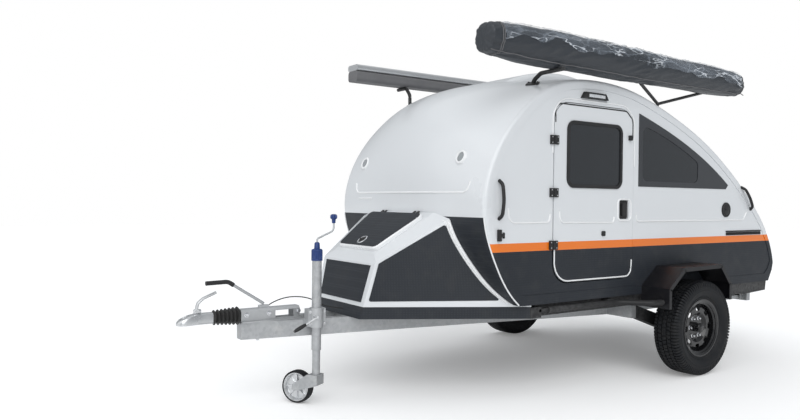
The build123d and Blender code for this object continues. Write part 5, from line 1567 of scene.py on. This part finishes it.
# lever of the jockey clamp with its grip, and the clamp's four bolts
clamp_low, clamp_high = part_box("jockey_clamp")
clamp_middle = (clamp_low[2] + clamp_high[2]) / 2
lever_root = Vector((clamp_high[0] - 0.030, clamp_high[1] - 0.004, clamp_middle + 0.010))
lever = Shape()
lever.rod([lever_root - Vector((0, 0.03, 0)), lever_root + Vector((0, 0.034, 0))], 0.009, 12)
lever_tip = lever_root + Vector((0.150, 0.030, -0.072))
lever.rod([lever_root + Vector((0, 0.030, 0)), lever_tip], 0.005, 10)
for along_beam in (-0.044, 0.044):
    for rise in (-0.036, 0.036):
        spot = Vector((lever_root.x - 0.030 + along_beam, clamp_high[1], lever_root.z - 0.010 + rise))
        met = touch(spot + Vector((0, 0.1, 0)), (0, -1, 0), "jockey_clamp")
        if met:
            lever.bolt(met[0], (0, 1, 0), 0.016, 0.009)
lever.piece("clamp_lever", "polished_zinc")
GRIP_RADII = (0.008, 0.011, 0.012, 0.012, 0.011, 0.007)
grip = Shape()
grip_root = lever_root.lerp(lever_tip, 0.5) + Vector((0, 0.015, 0))
grip.rod([grip_root.lerp(lever_tip, k / 5) for k in range(6)], GRIP_RADII, 14)
grip.piece("clamp_lever_grip", "black_moulding")

# bolts through the housing's sides, and up into the drawbar
bolts = Shape()
for station in (2700, 2890, 3030):
    for side, _ in BOTH_SIDES:
        face = on_node(station, 560, "overrun_housing", side)
        if face:
            bolts.bolt(face, (0, side, 0), 0.022, 0.012)
for station in (2740, 2960):
    for side, _ in BOTH_SIDES:
        met = touch(at(station, side * 30, 200), (0, 0, 1), "drawbar")
        if met:
            bolts.bolt(met[0], (0, 0, -1), 0.019, 0.013)
bolts.piece("coupling_bolts", "bright_chrome")


# ---- studio ----
LAMPS = (  # name, place, power and spread in degrees
    ("key", (4.0, 7.0, 6.0), 1.55, 50),
    ("fill", (8.0, -2.0, 5.0), 0.62, 70),
    ("top", (0.5, -1.0, 9.0), 0.62, 90),
)
LAMP_AIM = Vector((0, 0, 0.9))
AIR_COLOUR, AIR_STRENGTH = (0.92, 0.96, 1, 1), 0.42


def make_studio():
    """Pale floor, three soft lamps, and air that is white to the camera and plain to the object."""
    bpy.ops.mesh.primitive_plane_add(size=60, location=(0, 0, 0))
    floor = bpy.context.object
    floor.name = "studio_floor"
    floor.data.materials.append(FINISHES["studio_floor"])
    for name, spot, power, angle in LAMPS:
        light = bpy.data.lights.new(name, "SUN")
        light.energy, light.angle = power, math.radians(angle)
        lamp = bpy.data.objects.new(name, light)
        bpy.context.collection.objects.link(lamp)
        lamp.location = spot
        lamp.rotation_mode = "QUATERNION"
        lamp.rotation_quaternion = (LAMP_AIM - Vector(spot)).to_track_quat("-Z", "Y")
    world = bpy.data.worlds.new("studio_air")
    bpy.context.scene.world = world
    world.use_nodes = True
    tree = world.node_tree
    tree.nodes.clear()
    path = tree.nodes.new("ShaderNodeLightPath")
    white = tree.nodes.new("ShaderNodeBackground")
    white.inputs[0].default_value = (1, 1, 1, 1)
    soft = tree.nodes.new("ShaderNodeBackground")
    soft.inputs[0].default_value = AIR_COLOUR
    soft.inputs[1].default_value = AIR_STRENGTH
    blend = tree.nodes.new("ShaderNodeMixShader")
    tree.links.new(path.outputs["Is Camera Ray"], blend.inputs[0])
    tree.links.new(soft.outputs[0], blend.inputs[1])
    tree.links.new(white.outputs[0], blend.inputs[2])
    out = tree.nodes.new("ShaderNodeOutputWorld")
    tree.links.new(blend.outputs[0], out.inputs[0])


make_studio()
bpy.context.scene.view_settings.view_transform = "Standard"
